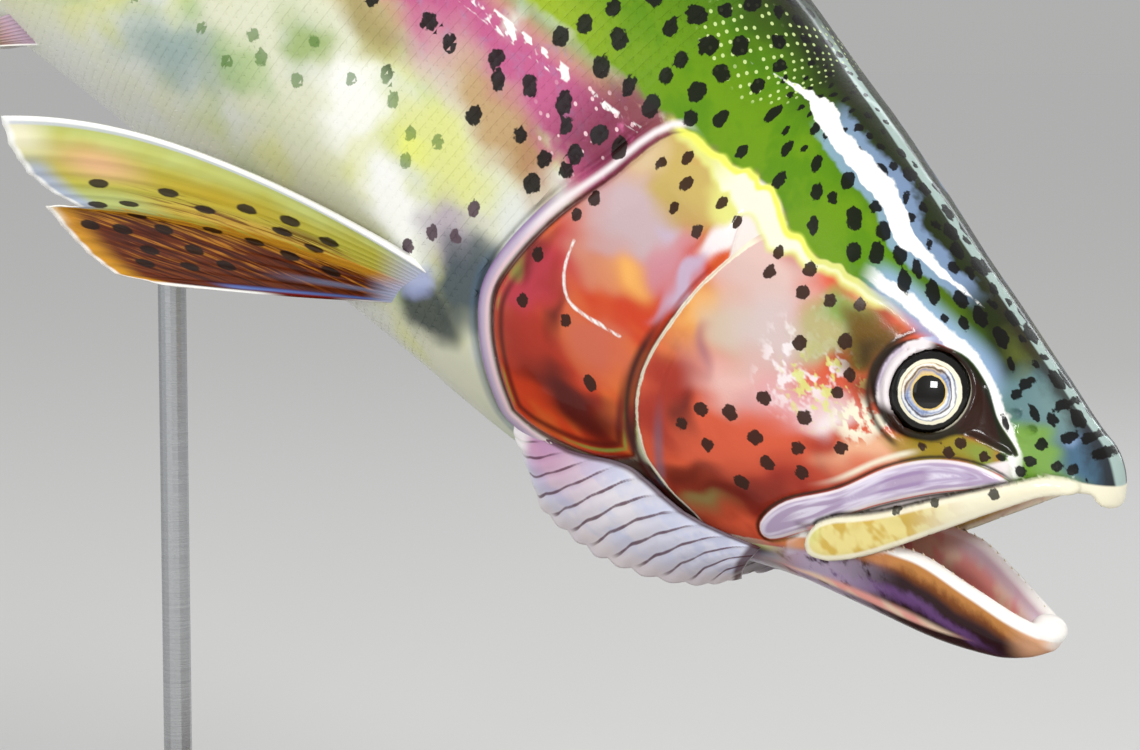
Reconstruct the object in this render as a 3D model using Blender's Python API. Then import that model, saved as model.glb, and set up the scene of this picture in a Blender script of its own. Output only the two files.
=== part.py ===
"""Rainbow trout, a still life-size museum model held over a flat base by two rods.

Metres, +Z up, with the origin at the middle of the base's underside.  The fish is first
described straight, in millimetres: x runs back from the snout, y towards its right side
and z towards its back.  Every point is then laid along the bent spine, which swings the
head round to -Y and down, and the tail up and away.
"""
import math

import bmesh
import bpy
import numpy as np

# ---------------------------------------------------------------- driving dimensions (mm)
MM = 0.001
GAP = 0.3                          # clearance between neighbouring solids
STANDARD_LENGTH = 550.0            # snout to the root of the tail fin
HEAD_END = 138.0                   # where the head meets the trunk, under the gill cover
TRUNK_JOINT = 330.0                # front and rear halves of the trunk meet here
STALK_START = 470.0                # the tail's narrow stalk begins here
SNOUT_PLACE = (176.0, -88.0, 150.0)  # snout tip over the middle of the base
NOSE_RADIUS = 7.0                  # length over which the snout rounds off
RING_POINTS = 24

EYE_PLACE = (40.5, 13.4)           # x, z of the eye on the side of the head
EYE_RADIUS, EYE_DEPTH, EYE_BULGE = 10.3, 4.6, 1.4
EYE_FACING = (-0.30, 0.94, 0.16)   # the way the right eye looks

COVER_THICKNESS = 2.4              # gill cover
MEMBRANE_THICKNESS = 1.2           # gill membrane below it
LIP_THICKNESS, LIP_RISE = 2.6, 1.2   # maxilla, and how far it stands proud
MAXILLA_START, MAXILLA_LENGTH = 6.0, 53.5
LIP_TURN = -17.0                   # below this height the maxilla follows the jaw inwards
CUT_RISE = 4.0                     # cutters reach this far outside the skin
TOOTH_RADIUS, TOOTH_HEIGHT, TOOTH_FOOT = 0.7, 1.3, 0.9
KNOB_RADIUS = 3.3                  # white knob on the tip of a male's lower jaw
STANDING_THICKNESS, PAIRED_THICKNESS, CAUDAL_THICKNESS = 2.6, 2.4, 6.5   # fins at the root
EDGE_THICKNESS = 0.8               # and at the edge

BASE_SIZE = (440.0, 220.0, 18.0)
BASE_CORNER, BASE_BEVEL = 60.0, 3.0
ROD_RADIUS, COLLAR_RADIUS, COLLAR_HEIGHT = 3.5, 9.0, 6.0
ROD_STATIONS = {"front": 245.0, "rear": 372.0}

# Body sections: x, height of the back, depth of the belly, half width.
STATIONS = [
    (0, 9.0, 7.5, 7.5), (6.6, 11.8, 12.0, 9.8), (22, 22.6, 24.0, 15.4), (44, 38.1, 35.0, 20.8),
    (69, 52.5, 42.5, 26.0), (99, 62.3, 51.0, 30.2), (137.5, 65.3, 61.5, 33.8),
    (192.5, 72.2, 69.0, 35.4), (242, 74.8, 72.6, 35.2), (302.5, 69.3, 70.4, 32.5),
    (357.5, 57.2, 58.9, 27.0), (412.5, 43.5, 41.8, 19.8), (467.5, 30.3, 27.4, 13.2),
    (506, 26.0, 23.6, 9.6), (550, 29.7, 28.6, 6.0)]
ROUNDNESS = [(0, 2.0), (40, 2.2), (100, 2.35), (160, 2.2), (300, 2.1), (550, 2.0)]
PITCH = [(0, 13), (44, 15), (88, 25), (137.5, 45), (220, 42), (330, 30), (467.5, 30), (550, 29)]
YAW = [(0, 37), (44, 37), (88, 36), (137.5, 30), (220, 16), (330, 0), (467.5, -11), (550, -18)]

LOOKS = {                          # colour, roughness, metallic
    "skin": ((0.33, 0.42, 0.12), 0.35, 0.0),
    "cheek": ((0.62, 0.20, 0.12), 0.30, 0.0), "membrane": ((0.60, 0.52, 0.66), 0.40, 0.0),
    "lip": ((0.78, 0.70, 0.42), 0.35, 0.0), "tongue": ((0.80, 0.38, 0.33), 0.35, 0.0),
    "eye": ((0.55, 0.50, 0.38), 0.08, 0.0), "fin": ((0.45, 0.33, 0.12), 0.45, 0.0),
    "wood": ((0.20, 0.11, 0.06), 0.40, 0.0), "steel": ((0.62, 0.62, 0.63), 0.28, 1.0)}


# ---------------------------------------------------------------- curves of the fish
def smooth_curve(points):
    """A smooth curve through (x, value) points that never overshoots them."""
    x, y = (np.array(column, dtype=float) for column in zip(*points))
    step, rise = np.diff(x), np.diff(y) / np.diff(x)
    slope = np.zeros(len(x))
    slope[0], slope[-1] = rise[0], rise[-1]
    for i in range(1, len(x) - 1):
        if rise[i - 1] * rise[i] > 0:
            before, after = 2 * step[i] + step[i - 1], step[i] + 2 * step[i - 1]
            slope[i] = (before + after) / (before / rise[i - 1] + after / rise[i])

    def value(at):
        at = np.clip(np.asarray(at, dtype=float), x[0], x[-1])
        k = np.clip(np.searchsorted(x, at) - 1, 0, len(x) - 2)
        s = (at - x[k]) / step[k]
        start = (1 + 2 * s) * (1 - s) ** 2 * y[k] + s * (1 - s) ** 2 * step[k] * slope[k]
        end = s * s * (3 - 2 * s) * y[k + 1] + s * s * (s - 1) * step[k] * slope[k + 1]
        return start + end
    return value


back = smooth_curve([(row[0], row[1]) for row in STATIONS])
belly = smooth_curve([(row[0], row[2]) for row in STATIONS])
flank = smooth_curve([(row[0], row[3]) for row in STATIONS])
roundness = smooth_curve(ROUNDNESS)
pitch_deg, yaw_deg = smooth_curve(PITCH), smooth_curve(YAW)


def snout_taper(x):
    return np.sqrt(1 - (1 - np.clip(np.asarray(x) / NOSE_RADIUS, 0, 1)) ** 2)


def section_point(x, angle, grow=0.0):
    """y, z of the body's section at x; the angle turns from the back to the right side."""
    power, taper = roundness(x), snout_taper(x)
    c, s = np.cos(angle), np.sin(angle)
    height = np.where(c > 0, back(x), belly(x)) * taper + grow
    width = flank(x) * taper + grow
    return (width * np.sign(s) * np.abs(s) ** (2 / power),
            height * np.sign(c) * np.abs(c) ** (2 / power))


def side_y(x, z, grow=0.0):
    """Half width of the body at height z."""
    power, taper = roundness(x), snout_taper(x)
    height = np.where(np.asarray(z) > 0, back(x), belly(x)) * taper + grow
    width = flank(x) * taper + grow
    share = np.clip(np.abs(z) / height, 0, 1)
    return width * (1 - share ** power) ** (1 / power)


# ---------------------------------------------------------------- the bent spine
def spine_axes(x):
    """Unit vectors of the spine at x: forward, towards the back, towards the right side."""
    pitch, yaw = np.radians(pitch_deg(x)), np.radians(yaw_deg(x))
    forward = np.stack([np.cos(pitch) * np.cos(yaw), -np.cos(pitch) * np.sin(yaw),
                        -np.sin(pitch)], -1)
    dorsal = np.stack([np.sin(pitch) * np.cos(yaw), -np.sin(pitch) * np.sin(yaw),
                       np.cos(pitch)], -1)
    right = np.stack([-np.sin(yaw), -np.cos(yaw), np.zeros_like(yaw)], -1)
    return forward, dorsal, right


SPINE_X = np.linspace(-20.0, 680.0, 1401)


def spine_track():
    """Places of the spine at SPINE_X, with the snout at SNOUT_PLACE."""
    forward = spine_axes(SPINE_X)[0]
    step = SPINE_X[1] - SPINE_X[0]
    track = np.vstack([np.zeros(3), -np.cumsum((forward[1:] + forward[:-1]) / 2 * step, axis=0)])
    return track - track[np.argmin(np.abs(SPINE_X))] + np.array(SNOUT_PLACE)


TRACK = spine_track()


def lay(points):
    """Straight points (n, 3) in millimetres, laid along the spine, in metres."""
    points = np.asarray(points, dtype=float)
    x, y, z = points[:, 0], points[:, 1], points[:, 2]
    centre = np.stack([np.interp(x, SPINE_X, TRACK[:, k]) for k in range(3)], -1)
    _, dorsal, right = spine_axes(x)
    return (centre + right * y[:, None] + dorsal * z[:, None]) * MM


# ---------------------------------------------------------------- objects
def new_collection(name):
    collection = bpy.data.collections.new(name)
    bpy.context.scene.collection.children.link(collection)
    return collection


def material(look):
    found = bpy.data.materials.get(look)
    if found:
        return found
    colour, roughness, metallic = LOOKS[look]
    found = bpy.data.materials.new(look)
    found.use_nodes = True
    shader = found.node_tree.nodes["Principled BSDF"]
    shader.inputs["Base Color"].default_value = (*colour, 1)
    shader.inputs["Roughness"].default_value = roughness
    shader.inputs["Metallic"].default_value = metallic
    found.diffuse_color = (*colour, 1)
    return found


def add_mesh(name, points, faces, look=None):
    """An object from world points in metres; a cutter when it has no look."""
    mesh = bpy.data.meshes.new(name)
    mesh.from_pydata([tuple(p) for p in points], [], faces)
    bm = bmesh.new()
    bm.from_mesh(mesh)
    bmesh.ops.recalc_face_normals(bm, faces=bm.faces)
    bm.to_mesh(mesh)
    bm.free()
    mesh.shade_smooth()
    mesh.set_sharp_from_angle(angle=math.radians(50))
    obj = bpy.data.objects.new(name, mesh)
    if look:
        mesh.materials.append(material(look))
        FISH.objects.link(obj)
    else:
        CUTTERS.objects.link(obj)
        obj.hide_render = True
        obj.display_type = "WIRE"
    return obj


def loft(rings):
    """Points and faces of a closed body through rings of equal length, capped at its ends."""
    rings = np.asarray(rings)
    count, around = rings.shape[:2]
    faces = []
    for i in range(count - 1):
        for j in range(around):
            a, b = i * around + j, i * around + (j + 1) % around
            faces.append((a, b, b + around, a + around))
    faces.append(tuple(range(around)))
    faces.append(tuple((count - 1) * around + j for j in range(around)))
    return rings.reshape(-1, 3), faces


def slab(outer, inner):
    """Points and faces of a closed plate between two grids of the same size."""
    outer, inner = np.asarray(outer), np.asarray(inner)
    rows, columns = outer.shape[:2]
    under = rows * columns
    quads = [(i * columns + j, i * columns + j + 1, (i + 1) * columns + j + 1, (i + 1) * columns + j)
             for i in range(rows - 1) for j in range(columns - 1)]
    rim = [j for j in range(columns)]
    rim += [i * columns + columns - 1 for i in range(1, rows)]
    rim += [(rows - 1) * columns + j for j in range(columns - 2, -1, -1)]
    rim += [i * columns for i in range(rows - 2, 0, -1)]
    faces = quads + [tuple(v + under for v in reversed(quad)) for quad in quads]
    for a, b in zip(rim, rim[1:] + rim[:1]):
        faces.append((b, a, a + under, b + under))
    return np.concatenate([outer.reshape(-1, 3), inner.reshape(-1, 3)]), faces


def combine(obj, other, operation="DIFFERENCE"):
    step = obj.modifiers.new(f"{operation.lower()} {other.name}", "BOOLEAN")
    step.operation = operation
    step.solver = "EXACT"
    step.object = other
    return obj


def mirrored(points, side):
    """The same points on the right (1) or left (-1) side of the fish."""
    return np.asarray(points) * np.array([1.0, side, 1.0])


# ---------------------------------------------------------------- body
def body_rings(start, end, spacing, grow=0.0):
    count = max(2, round((end - start) / spacing) + 1)
    angles = np.linspace(0, 2 * math.pi, RING_POINTS, endpoint=False)
    rings = []
    for x in np.linspace(start, end, count):
        y, z = section_point(np.full(RING_POINTS, x), angles, grow)
        rings.append(np.stack([np.full(RING_POINTS, x), y, z], -1))
    return rings


def body_piece(name, start, end, spacing, look):
    points, faces = loft(body_rings(start, end, spacing))
    return add_mesh(name, lay(points), faces, look)


def grown_body():
    """The trunk and stalk, larger by the gap, to trim whatever meets the skin."""
    points, faces = loft(body_rings(HEAD_END - 8, STANDARD_LENGTH + GAP, 11.5, GAP))
    return add_mesh("cut_grown_body", lay(points), faces)


def make_head():
    nose = body_rings(0.25, NOSE_RADIUS, 2.2)
    rest = body_rings(NOSE_RADIUS, HEAD_END, 7.8)[1:]
    points, faces = loft(nose + rest)
    return add_mesh("head", lay(points), faces, "cheek")


# ---------------------------------------------------------------- mouth
lip_line = smooth_curve([(-4, -2.6), (1.5, -2.0), (4.2, 0.8), (10, -0.3), (16, -3.4), (23, -7.6),
                         (38, -15.6), (64, -26.5)])
MOUTH_END = 66.0
JAW_TIP, JAW_END = 7.0, MOUTH_END - GAP
jaw_rim = smooth_curve([(7, -33.6), (14, -31.6), (24, -28.0), (38, -24.2), (50, -25.0), (66, -29.5)])
jaw_keel = smooth_curve([(7, -36.4), (12, -40.0), (19, -42.3), (33, -43.4), (49, -42.6), (66, -42.0)])
jaw_width = smooth_curve([(7, 2.6), (10, 5.6), (16, 9.0), (26, 12.4), (40, 15.4), (66, 17.4)])


def mouth_space():
    """Everything below the upper lip, in front of the throat."""
    xs = np.concatenate([[-4, 1.5, 4.2], np.linspace(10, 64, 8), [MOUTH_END]])
    rings = []
    for x in xs:
        roof = float(lip_line(x))
        rings.append([(x, -40, roof), (x, 40, roof), (x, 40, -70), (x, -40, -70)])
    points, faces = loft(rings)
    return add_mesh("cut_mouth", lay(points), faces)


def jaw_ring(x):
    """A trough-shaped section: down the right outside, round the keel, back up inside."""
    rim, keel, half = float(jaw_rim(x)), float(jaw_keel(x)), float(jaw_width(x))
    wall = 1.2 + 2.0 * min(1.0, (x - JAW_TIP) / 14)
    hollow = 0.45 + (rim - keel - 6.0) * min(1.0, max(0.0, (x - JAW_TIP - 3) / 16))
    outer, inner = np.linspace(0, math.pi, 11), np.linspace(math.pi, 0, 7)
    outside = [(x, half * math.cos(a), rim - (rim - keel) * math.sin(a) ** 0.85) for a in outer]
    inside = [(x, (half - wall) * math.cos(a), rim - hollow * math.sin(a) ** 0.8) for a in inner]
    return outside + inside


def tooth(bm, x, y, z, up):
    """One small cone, its foot sunk into the jaw."""
    made = bmesh.ops.create_cone(bm, cap_ends=True, segments=5, radius1=TOOTH_RADIUS,
                                 radius2=0.0, depth=TOOTH_HEIGHT + TOOTH_FOOT)
    centre = (TOOTH_HEIGHT - TOOTH_FOOT) / 2
    for vert in made["verts"]:
        lift = (vert.co.z + centre) * up
        vert.co = (x + vert.co.x, y + vert.co.y * up, z + lift)


def tooth_row(name, xs, inset, line, width, up):
    """Teeth along both sides of a jaw, as one cutter mesh to be joined to it."""
    bm = bmesh.new()
    for x in xs:
        for side in (1, -1):
            tooth(bm, x, side * (float(width(x)) - inset), float(line(x)), up)
    bmesh.ops.remove_doubles(bm, verts=bm.verts, dist=1e-4)
    points = [tuple(v.co) for v in bm.verts]
    faces = [tuple(v.index for v in face.verts) for face in bm.faces]
    bm.free()
    return add_mesh(name, lay(points), faces)


def make_jaw():
    xs = np.concatenate([np.linspace(JAW_TIP, 16, 5), np.linspace(21, JAW_END, 10)])
    points, faces = loft([jaw_ring(x) for x in xs])
    jaw = add_mesh("jaw_lower", lay(points), faces, "lip")
    bm = bmesh.new()
    bmesh.ops.create_uvsphere(bm, u_segments=10, v_segments=6, radius=KNOB_RADIUS)
    knob = [(v.co.x * 1.1 + 9.4, v.co.y * 1.15, v.co.z * 0.95 - 32.2) for v in bm.verts]
    knob_faces = [tuple(v.index for v in face.verts) for face in bm.faces]
    bm.free()
    combine(jaw, add_mesh("join_knob", lay(knob), knob_faces), "UNION")
    teeth = tooth_row("join_lower_teeth", np.linspace(17, 45, 8), 1.6, jaw_rim, jaw_width, 1)
    return combine(jaw, teeth, "UNION")


def make_tongue():
    rings = []
    angles = np.linspace(0, 2 * math.pi, 12, endpoint=False)
    for t in np.linspace(0.02, 1, 8):
        x = 25 + (JAW_END - GAP - 25) * t
        full = math.sqrt(1 - (1 - min(1, t / 0.35)) ** 2)
        half, thick, middle = 7.0 * full, 2.7 * full, -32.6 + 1.2 * t
        rings.append([(x, half * math.sin(a), middle + thick * math.cos(a)) for a in angles])
    points, faces = loft(rings)
    return add_mesh("tongue", lay(points), faces, "tongue")


# ---------------------------------------------------------------- plates of the head
maxilla_middle = smooth_curve([(0, 2.0), (0.12, 0.4), (0.25, -3.6), (0.5, -12.4), (0.8, -23.0),
                               (1, -28.0)])
maxilla_half = smooth_curve([(0, 1.5), (0.12, 2.1), (0.3, 3.0), (0.65, 4.6), (0.88, 5.4),
                             (0.97, 4.0), (1, 2.6)])
COVER_FRONT = [(97, 30), (103.5, 12), (105.3, -4), (103.4, -17), (98.2, -27.5)]
COVER_REAR = [(135.2, 35), (140, 16), (143.3, -3), (143, -20), (126.5, -43.2)]
COVER_RISE, COVER_FLARE, COVER_HEIGHT = 0.8, 0.9, 70.0   # proud of the head, more at the rear


def through(points):
    """x(t), z(t) along a line of points, t from 0 to 1."""
    t = np.linspace(0, 1, len(points))
    return (smooth_curve(list(zip(t, [p[0] for p in points]))),
            smooth_curve(list(zip(t, [p[1] for p in points]))))


def cover_grid(lift, widen=0.0):
    """Grid over the gill cover, from its front edge to its free rear edge."""
    front, rear = through(COVER_FRONT), through(COVER_REAR)
    grid = []
    for v in np.linspace(-0.012 * widen, 1 + 0.012 * widen, 9):
        row = []
        v_in = min(max(v, 0), 1)
        for u in np.linspace(-0.012 * widen, 1 + 0.012 * widen, 7):
            x = front[0](v_in) * (1 - u) + rear[0](v_in) * u
            z = front[1](v_in) * (1 - u) + rear[1](v_in) * u - (v - v_in) * COVER_HEIGHT
            row.append((float(x), float(side_y(x, z, lift + COVER_FLARE * u)), float(z)))
        grid.append(row)
    return grid


def make_cover(name, side):
    points, faces = slab(cover_grid(COVER_RISE), cover_grid(COVER_RISE - COVER_THICKNESS))
    cover = add_mesh(f"gill_cover_{name}", lay(mirrored(points, side)), faces, "cheek")
    wide = slab(cover_grid(CUT_RISE, 1.0), cover_grid(COVER_RISE - COVER_THICKNESS - GAP, 1.0))
    return cover, add_mesh(f"cut_cover_{name}", lay(mirrored(wide[0], side)), wide[1])


def maxilla_grid(lift, widen=0.0):
    """Grid over the maxilla, the long plate behind the upper lip."""
    grid = []
    for t in np.linspace(-0.01 * widen, 1 + 0.01 * widen, 11):
        inside = min(max(t, 0), 1)
        x = MAXILLA_START + MAXILLA_LENGTH * t
        middle, half = float(maxilla_middle(inside)), float(maxilla_half(inside)) + GAP * widen
        row = []
        for v in np.linspace(1, -1, 5):
            z = middle + half * v
            below = max(0.0, LIP_TURN - z)
            y = float(side_y(x, max(z, LIP_TURN), lift)) - 0.10 * below
            row.append((x - 0.45 * half * v, y, z))
        grid.append(row)
    return grid


def make_maxilla(name, side):
    points, faces = slab(maxilla_grid(LIP_RISE), maxilla_grid(LIP_RISE - LIP_THICKNESS))
    plate = add_mesh(f"maxilla_{name}", lay(mirrored(points, side)), faces, "lip")
    wide = slab(maxilla_grid(CUT_RISE, 1.0), maxilla_grid(LIP_RISE - LIP_THICKNESS - GAP, 1.0))
    return plate, add_mesh(f"cut_maxilla_{name}", lay(mirrored(wide[0], side)), wide[1])


def eye_ball(grow):
    """Flattened ball of the right eye, straight-frame points and faces."""
    facing = np.array(EYE_FACING) / np.linalg.norm(EYE_FACING)
    x, z = EYE_PLACE
    on_skin = np.array([x, float(side_y(x, z)), z])
    centre = on_skin - facing * (EYE_DEPTH - EYE_BULGE)
    along = np.cross(facing, (0.0, 0.0, 1.0))
    along /= np.linalg.norm(along)
    across = np.cross(along, facing)
    bm = bmesh.new()
    bmesh.ops.create_uvsphere(bm, u_segments=16, v_segments=8, radius=1.0)
    points = [centre + along * v.co.x * (EYE_RADIUS + grow) + across * v.co.y * (EYE_RADIUS + grow)
              + facing * v.co.z * (EYE_DEPTH + grow) for v in bm.verts]
    faces = [tuple(v.index for v in face.verts) for face in bm.faces]
    bm.free()
    return points, faces


def make_eye(name, side):
    points, faces = eye_ball(0.0)
    ball = add_mesh(f"eye_{name}", lay(mirrored(points, side)), faces, "eye")
    points, faces = eye_ball(GAP)
    return ball, add_mesh(f"cut_socket_{name}", lay(mirrored(points, side)), faces)


MEMBRANE_ROOT = [(68, 22.5, -34), (84, 24.5, -35), (98, 25.5, -33), (112, 24.0, -41), (124, 20.5, -47)]
MEMBRANE_EDGE = [(75.5, 10.0, -48.0), (83.5, 9.6, -55.0), (94.5, 10.5, -60.6), (103.5, 11.7, -63.2),
                 (111.5, 13.5, -62.6), (119.5, 16.5, -53.5)]
MEMBRANE_BOW = 2.6


def curve_through(points):
    """Smooth x, y, z along a line of points, from share 0 to 1."""
    share = np.linspace(0, 1, len(points))
    curves = [smooth_curve(list(zip(share, [point[k] for point in points]))) for k in range(3)]
    return lambda at: np.stack([curve(at) for curve in curves], -1)


def make_membrane(name, side, covers_cut):
    """Fan of the gill membrane, spread below the gill cover."""
    share, down = np.linspace(0, 1, 11), np.linspace(0, 1, 5)[None, :, None]
    root, edge = (curve_through(line)(share)[:, None] for line in (MEMBRANE_ROOT, MEMBRANE_EDGE))
    outer = root * (1 - down) + edge * down
    outer[..., 1] += MEMBRANE_BOW * np.sin(math.pi * down[..., 0])
    points, faces = slab(outer, outer - np.array([0.0, MEMBRANE_THICKNESS, 0.0]))
    fan = add_mesh(f"gill_membrane_{name}", lay(mirrored(points, side)), faces, "membrane")
    combine(fan, covers_cut)
    return combine(fan, grown_throat())


def grown_throat():
    """The head's underside, larger by the gap, to trim the membranes."""
    found = bpy.data.objects.get("cut_grown_head")
    if found:
        return found
    points, faces = loft(body_rings(MOUTH_END - 2, HEAD_END + 1.5, 5.5, GAP))
    return add_mesh("cut_grown_head", lay(points), faces)


# ---------------------------------------------------------------- fins
def thickened(name, rays, thickness):
    """A fin from its rays, each a list of points from root to tip, and its thickness there."""
    normal = np.cross(np.gradient(rays, axis=1), np.gradient(rays, axis=0))
    normal /= np.linalg.norm(normal, axis=-1, keepdims=True)
    points, faces = slab(rays + normal * thickness / 2, rays - normal * thickness / 2)
    return add_mesh(name, lay(points), faces, "fin")


def fin_slab(name, rays, root_thickness, edge_thickness, trim, side=1):
    """A fin that thins evenly from root to edge, trimmed by the body."""
    rays = mirrored(rays, side)
    share = np.linspace(0, 1, rays.shape[1])[None, :, None]
    thickness = root_thickness * (1 - share) + edge_thickness * share
    return combine(thickened(name, rays, thickness), trim)


def bowed_ray(root, middle, tip, count=6):
    t = np.linspace(0, 1, count)[:, None]
    root, middle, tip = (np.array(p, dtype=float) for p in (root, middle, tip))
    return (1 - t) ** 2 * root + 2 * t * (1 - t) * middle + t * t * tip


FIN_SINK = 2.0                     # fin roots start this deep under the skin


def standing_fin(name, start, end, lengths, lean, edge, trim, columns=9):
    """A fin on the midline: up from the back (edge 1) or down from the belly (edge -1)."""
    length, tilt = smooth_curve(lengths), smooth_curve(lean)
    profile = back if edge > 0 else belly
    rays = []
    for i in np.linspace(0, 1, columns):
        x = start + (end - start) * i
        foot = (x, 0.0, edge * (float(profile(x)) - FIN_SINK))
        reach, angle = float(length(i)) + FIN_SINK, math.radians(float(tilt(i)))
        aft, out = reach * math.sin(angle), edge * reach * math.cos(angle)
        middle = (x + 0.42 * aft, 0.0, foot[2] + 0.55 * out)
        rays.append(bowed_ray(foot, middle, (x + aft, 0.0, foot[2] + out)))
    return fin_slab(name, rays, STANDING_THICKNESS, EDGE_THICKNESS, trim)


CAUDAL_RAYS = 13
caudal_reach = smooth_curve([(0, 56), (0.5, 60), (0.85, 71), (1, 65)])
caudal_spread = smooth_curve([(0, 0), (0.5, 31), (0.85, 56), (1, 63)])


def make_caudal():
    """The slightly forked tail fin, its rays fanned from the end of the stalk."""
    rays = []
    places = np.linspace(-1, 1, CAUDAL_RAYS)
    for s in places:
        foot = (STANDARD_LENGTH + GAP, 0.0, 27.5 * s)
        reach, spread = float(caudal_reach(abs(s))), float(caudal_spread(abs(s)))
        tip = (STANDARD_LENGTH + reach, 0.0, math.copysign(spread, s))
        middle = (STANDARD_LENGTH + 0.42 * reach, 0.0, 41.0 * s)
        rays.append(bowed_ray(foot, middle, tip))
    rays = np.array(rays)
    rays[..., 1] = -4.0 * ((rays[..., 0] - STANDARD_LENGTH) / 70) ** 2   # a slight sideways curl
    share = np.linspace(0, 1, rays.shape[1])[None, :, None]
    stout = CAUDAL_THICKNESS * (1 - np.abs(places) ** 3 * 0.6)[:, None, None]
    return thickened("fin_caudal", rays, stout * (1 - share) ** 1.6 + EDGE_THICKNESS)


PECTORAL_ROOT = ((156.0, 27.0, -35.0), (162.5, 22.0, -49.0))
PECTORAL_TIPS = [(269, 62, -76.6), (261, 61, -80.5), (252, 59, -82.6), (243, 57, -82.4),
                 (234, 55, -80.5), (242, 56, -86.0), (232, 53, -87.6), (224, 51, -88.2),
                 (216, 49, -87.6), (205, 45, -82.0)]
PELVIC_ROOT = ((284.0, 9.0, -66.0), (298.0, 12.5, -65.0))
PELVIC_TIPS = [(334, 24, -92), (332, 25, -93.5), (328, 26, -93.5), (324, 26.5, -91.5),
               (320, 26.5, -88.5), (317, 26, -85), (314, 25, -81)]


def paired_fin(name, root, tips, lift, trim, side):
    """A fin spread from the side: the leading ray bows most."""
    first, last = np.array(root[0]), np.array(root[1])
    rays = []
    for i, tip in enumerate(tips):
        share = i / (len(tips) - 1)
        foot = first * (1 - share) + last * share
        middle = (foot + np.array(tip)) / 2 + np.array(lift) * (1 - 1.25 * share)
        rays.append(bowed_ray(foot, middle, tip))
    return fin_slab(name, rays, PAIRED_THICKNESS, EDGE_THICKNESS, trim, side)


# Standing fins: start and end along the back or belly, length and lean from front to rear.
DORSAL = (247, 314, [(0, 22), (0.12, 46), (0.25, 58), (0.45, 54), (0.75, 39), (1, 28)],
          [(0, 30), (0.25, 37), (1, 54)])
ADIPOSE = (441, 454, [(0, 21), (0.4, 20), (1, 10)], [(0, 64), (0.5, 66), (1, 74)])
ANAL = (398, 443, [(0, 16), (0.15, 36), (0.3, 43), (0.55, 35), (1, 20)],
        [(0, 26), (0.3, 37), (1, 56)])
PECTORAL_LIFT, PELVIC_LIFT = (4.0, 8.0, 11.0), (2.0, 2.5, -1.5)


# ---------------------------------------------------------------- stand
def make_base():
    """Plain plate with rounded corners."""
    length, width, height = (size * MM for size in BASE_SIZE)
    bm = bmesh.new()
    bmesh.ops.create_cube(bm, size=1.0)
    bmesh.ops.scale(bm, vec=(length, width, height), verts=bm.verts)
    bmesh.ops.translate(bm, vec=(0, 0, height / 2), verts=bm.verts)
    upright = [e for e in bm.edges if abs(e.verts[0].co.z - e.verts[1].co.z) > height / 2]
    bmesh.ops.bevel(bm, geom=upright, offset=BASE_CORNER * MM, segments=7, profile=0.5, affect="EDGES")
    top = [e for e in bm.edges if all(v.co.z > height - 1e-6 for v in e.verts)]
    bmesh.ops.bevel(bm, geom=top, offset=BASE_BEVEL * MM, segments=3, profile=0.5, affect="EDGES")
    points = [tuple(v.co) for v in bm.verts]
    faces = [tuple(v.index for v in face.verts) for face in bm.faces]
    bm.free()
    return add_mesh("stand_base", points, faces, "wood")


def upright_cylinder(name, x, y, bottom, top, radius, look):
    bm = bmesh.new()
    bmesh.ops.create_cone(bm, cap_ends=True, segments=16, radius1=radius, radius2=radius,
                          depth=top - bottom)
    points = [(v.co.x + x, v.co.y + y, v.co.z + (top + bottom) / 2) for v in bm.verts]
    faces = [tuple(v.index for v in face.verts) for face in bm.faces]
    bm.free()
    return add_mesh(name, points, faces, look)


def make_rod(name, station, trim):
    """A rod from the base up to the belly, and the collar round its foot."""
    x, y, z = lay([(station, 0.0, -float(belly(station)) + 6.0)])[0]
    floor = (BASE_SIZE[2] + GAP) * MM
    rod = upright_cylinder(f"stand_rod_{name}", x, y, floor, z, ROD_RADIUS * MM, "steel")
    combine(rod, trim)
    collar = upright_cylinder(f"stand_collar_{name}", x, y, floor, floor + COLLAR_HEIGHT * MM,
                              COLLAR_RADIUS * MM, "steel")
    bore = upright_cylinder(f"cut_collar_{name}", x, y, 0.0, 0.1, (ROD_RADIUS + GAP) * MM, None)
    combine(collar, bore)


# ---------------------------------------------------------------- assembly
def main():
    head = make_head()
    front = body_piece("trunk_front", HEAD_END + GAP, TRUNK_JOINT, 10.5, "skin")
    body_piece("trunk_rear", TRUNK_JOINT + GAP, STALK_START, 12.5, "skin")
    body_piece("tail_stalk", STALK_START + GAP, STANDARD_LENGTH, 11.5, "skin")
    trim = grown_body()

    combine(head, mouth_space())
    upper = tooth_row("join_upper_teeth", np.linspace(9, 45, 9), 3.6, lip_line,
                      lambda x: side_y(x, lip_line(x)), -1)
    combine(head, upper, "UNION")
    make_jaw()
    make_tongue()

    for name, side in (("right", 1), ("left", -1)):
        combine(head, make_eye(name, side)[1])
        combine(head, make_maxilla(name, side)[1])
        cover_cut = make_cover(name, side)[1]
        combine(head, cover_cut)
        combine(front, cover_cut)
        make_membrane(name, side, cover_cut)
        paired_fin(f"fin_pectoral_{name}", PECTORAL_ROOT, PECTORAL_TIPS, PECTORAL_LIFT,
                   trim, side)
        paired_fin(f"fin_pelvic_{name}", PELVIC_ROOT, PELVIC_TIPS, PELVIC_LIFT, trim, side)

    standing_fin("fin_dorsal", *DORSAL, 1, trim)
    standing_fin("fin_adipose", *ADIPOSE, 1, trim, columns=6)
    standing_fin("fin_anal", *ANAL, -1, trim)
    make_caudal()

    make_base()
    for name, station in ROD_STATIONS.items():
        make_rod(name, station, trim)


for old in list(bpy.data.objects):
    bpy.data.objects.remove(old)
FISH, CUTTERS = new_collection("rainbow_trout"), new_collection("cutters")
CUTTERS.hide_render = True
main()
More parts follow.
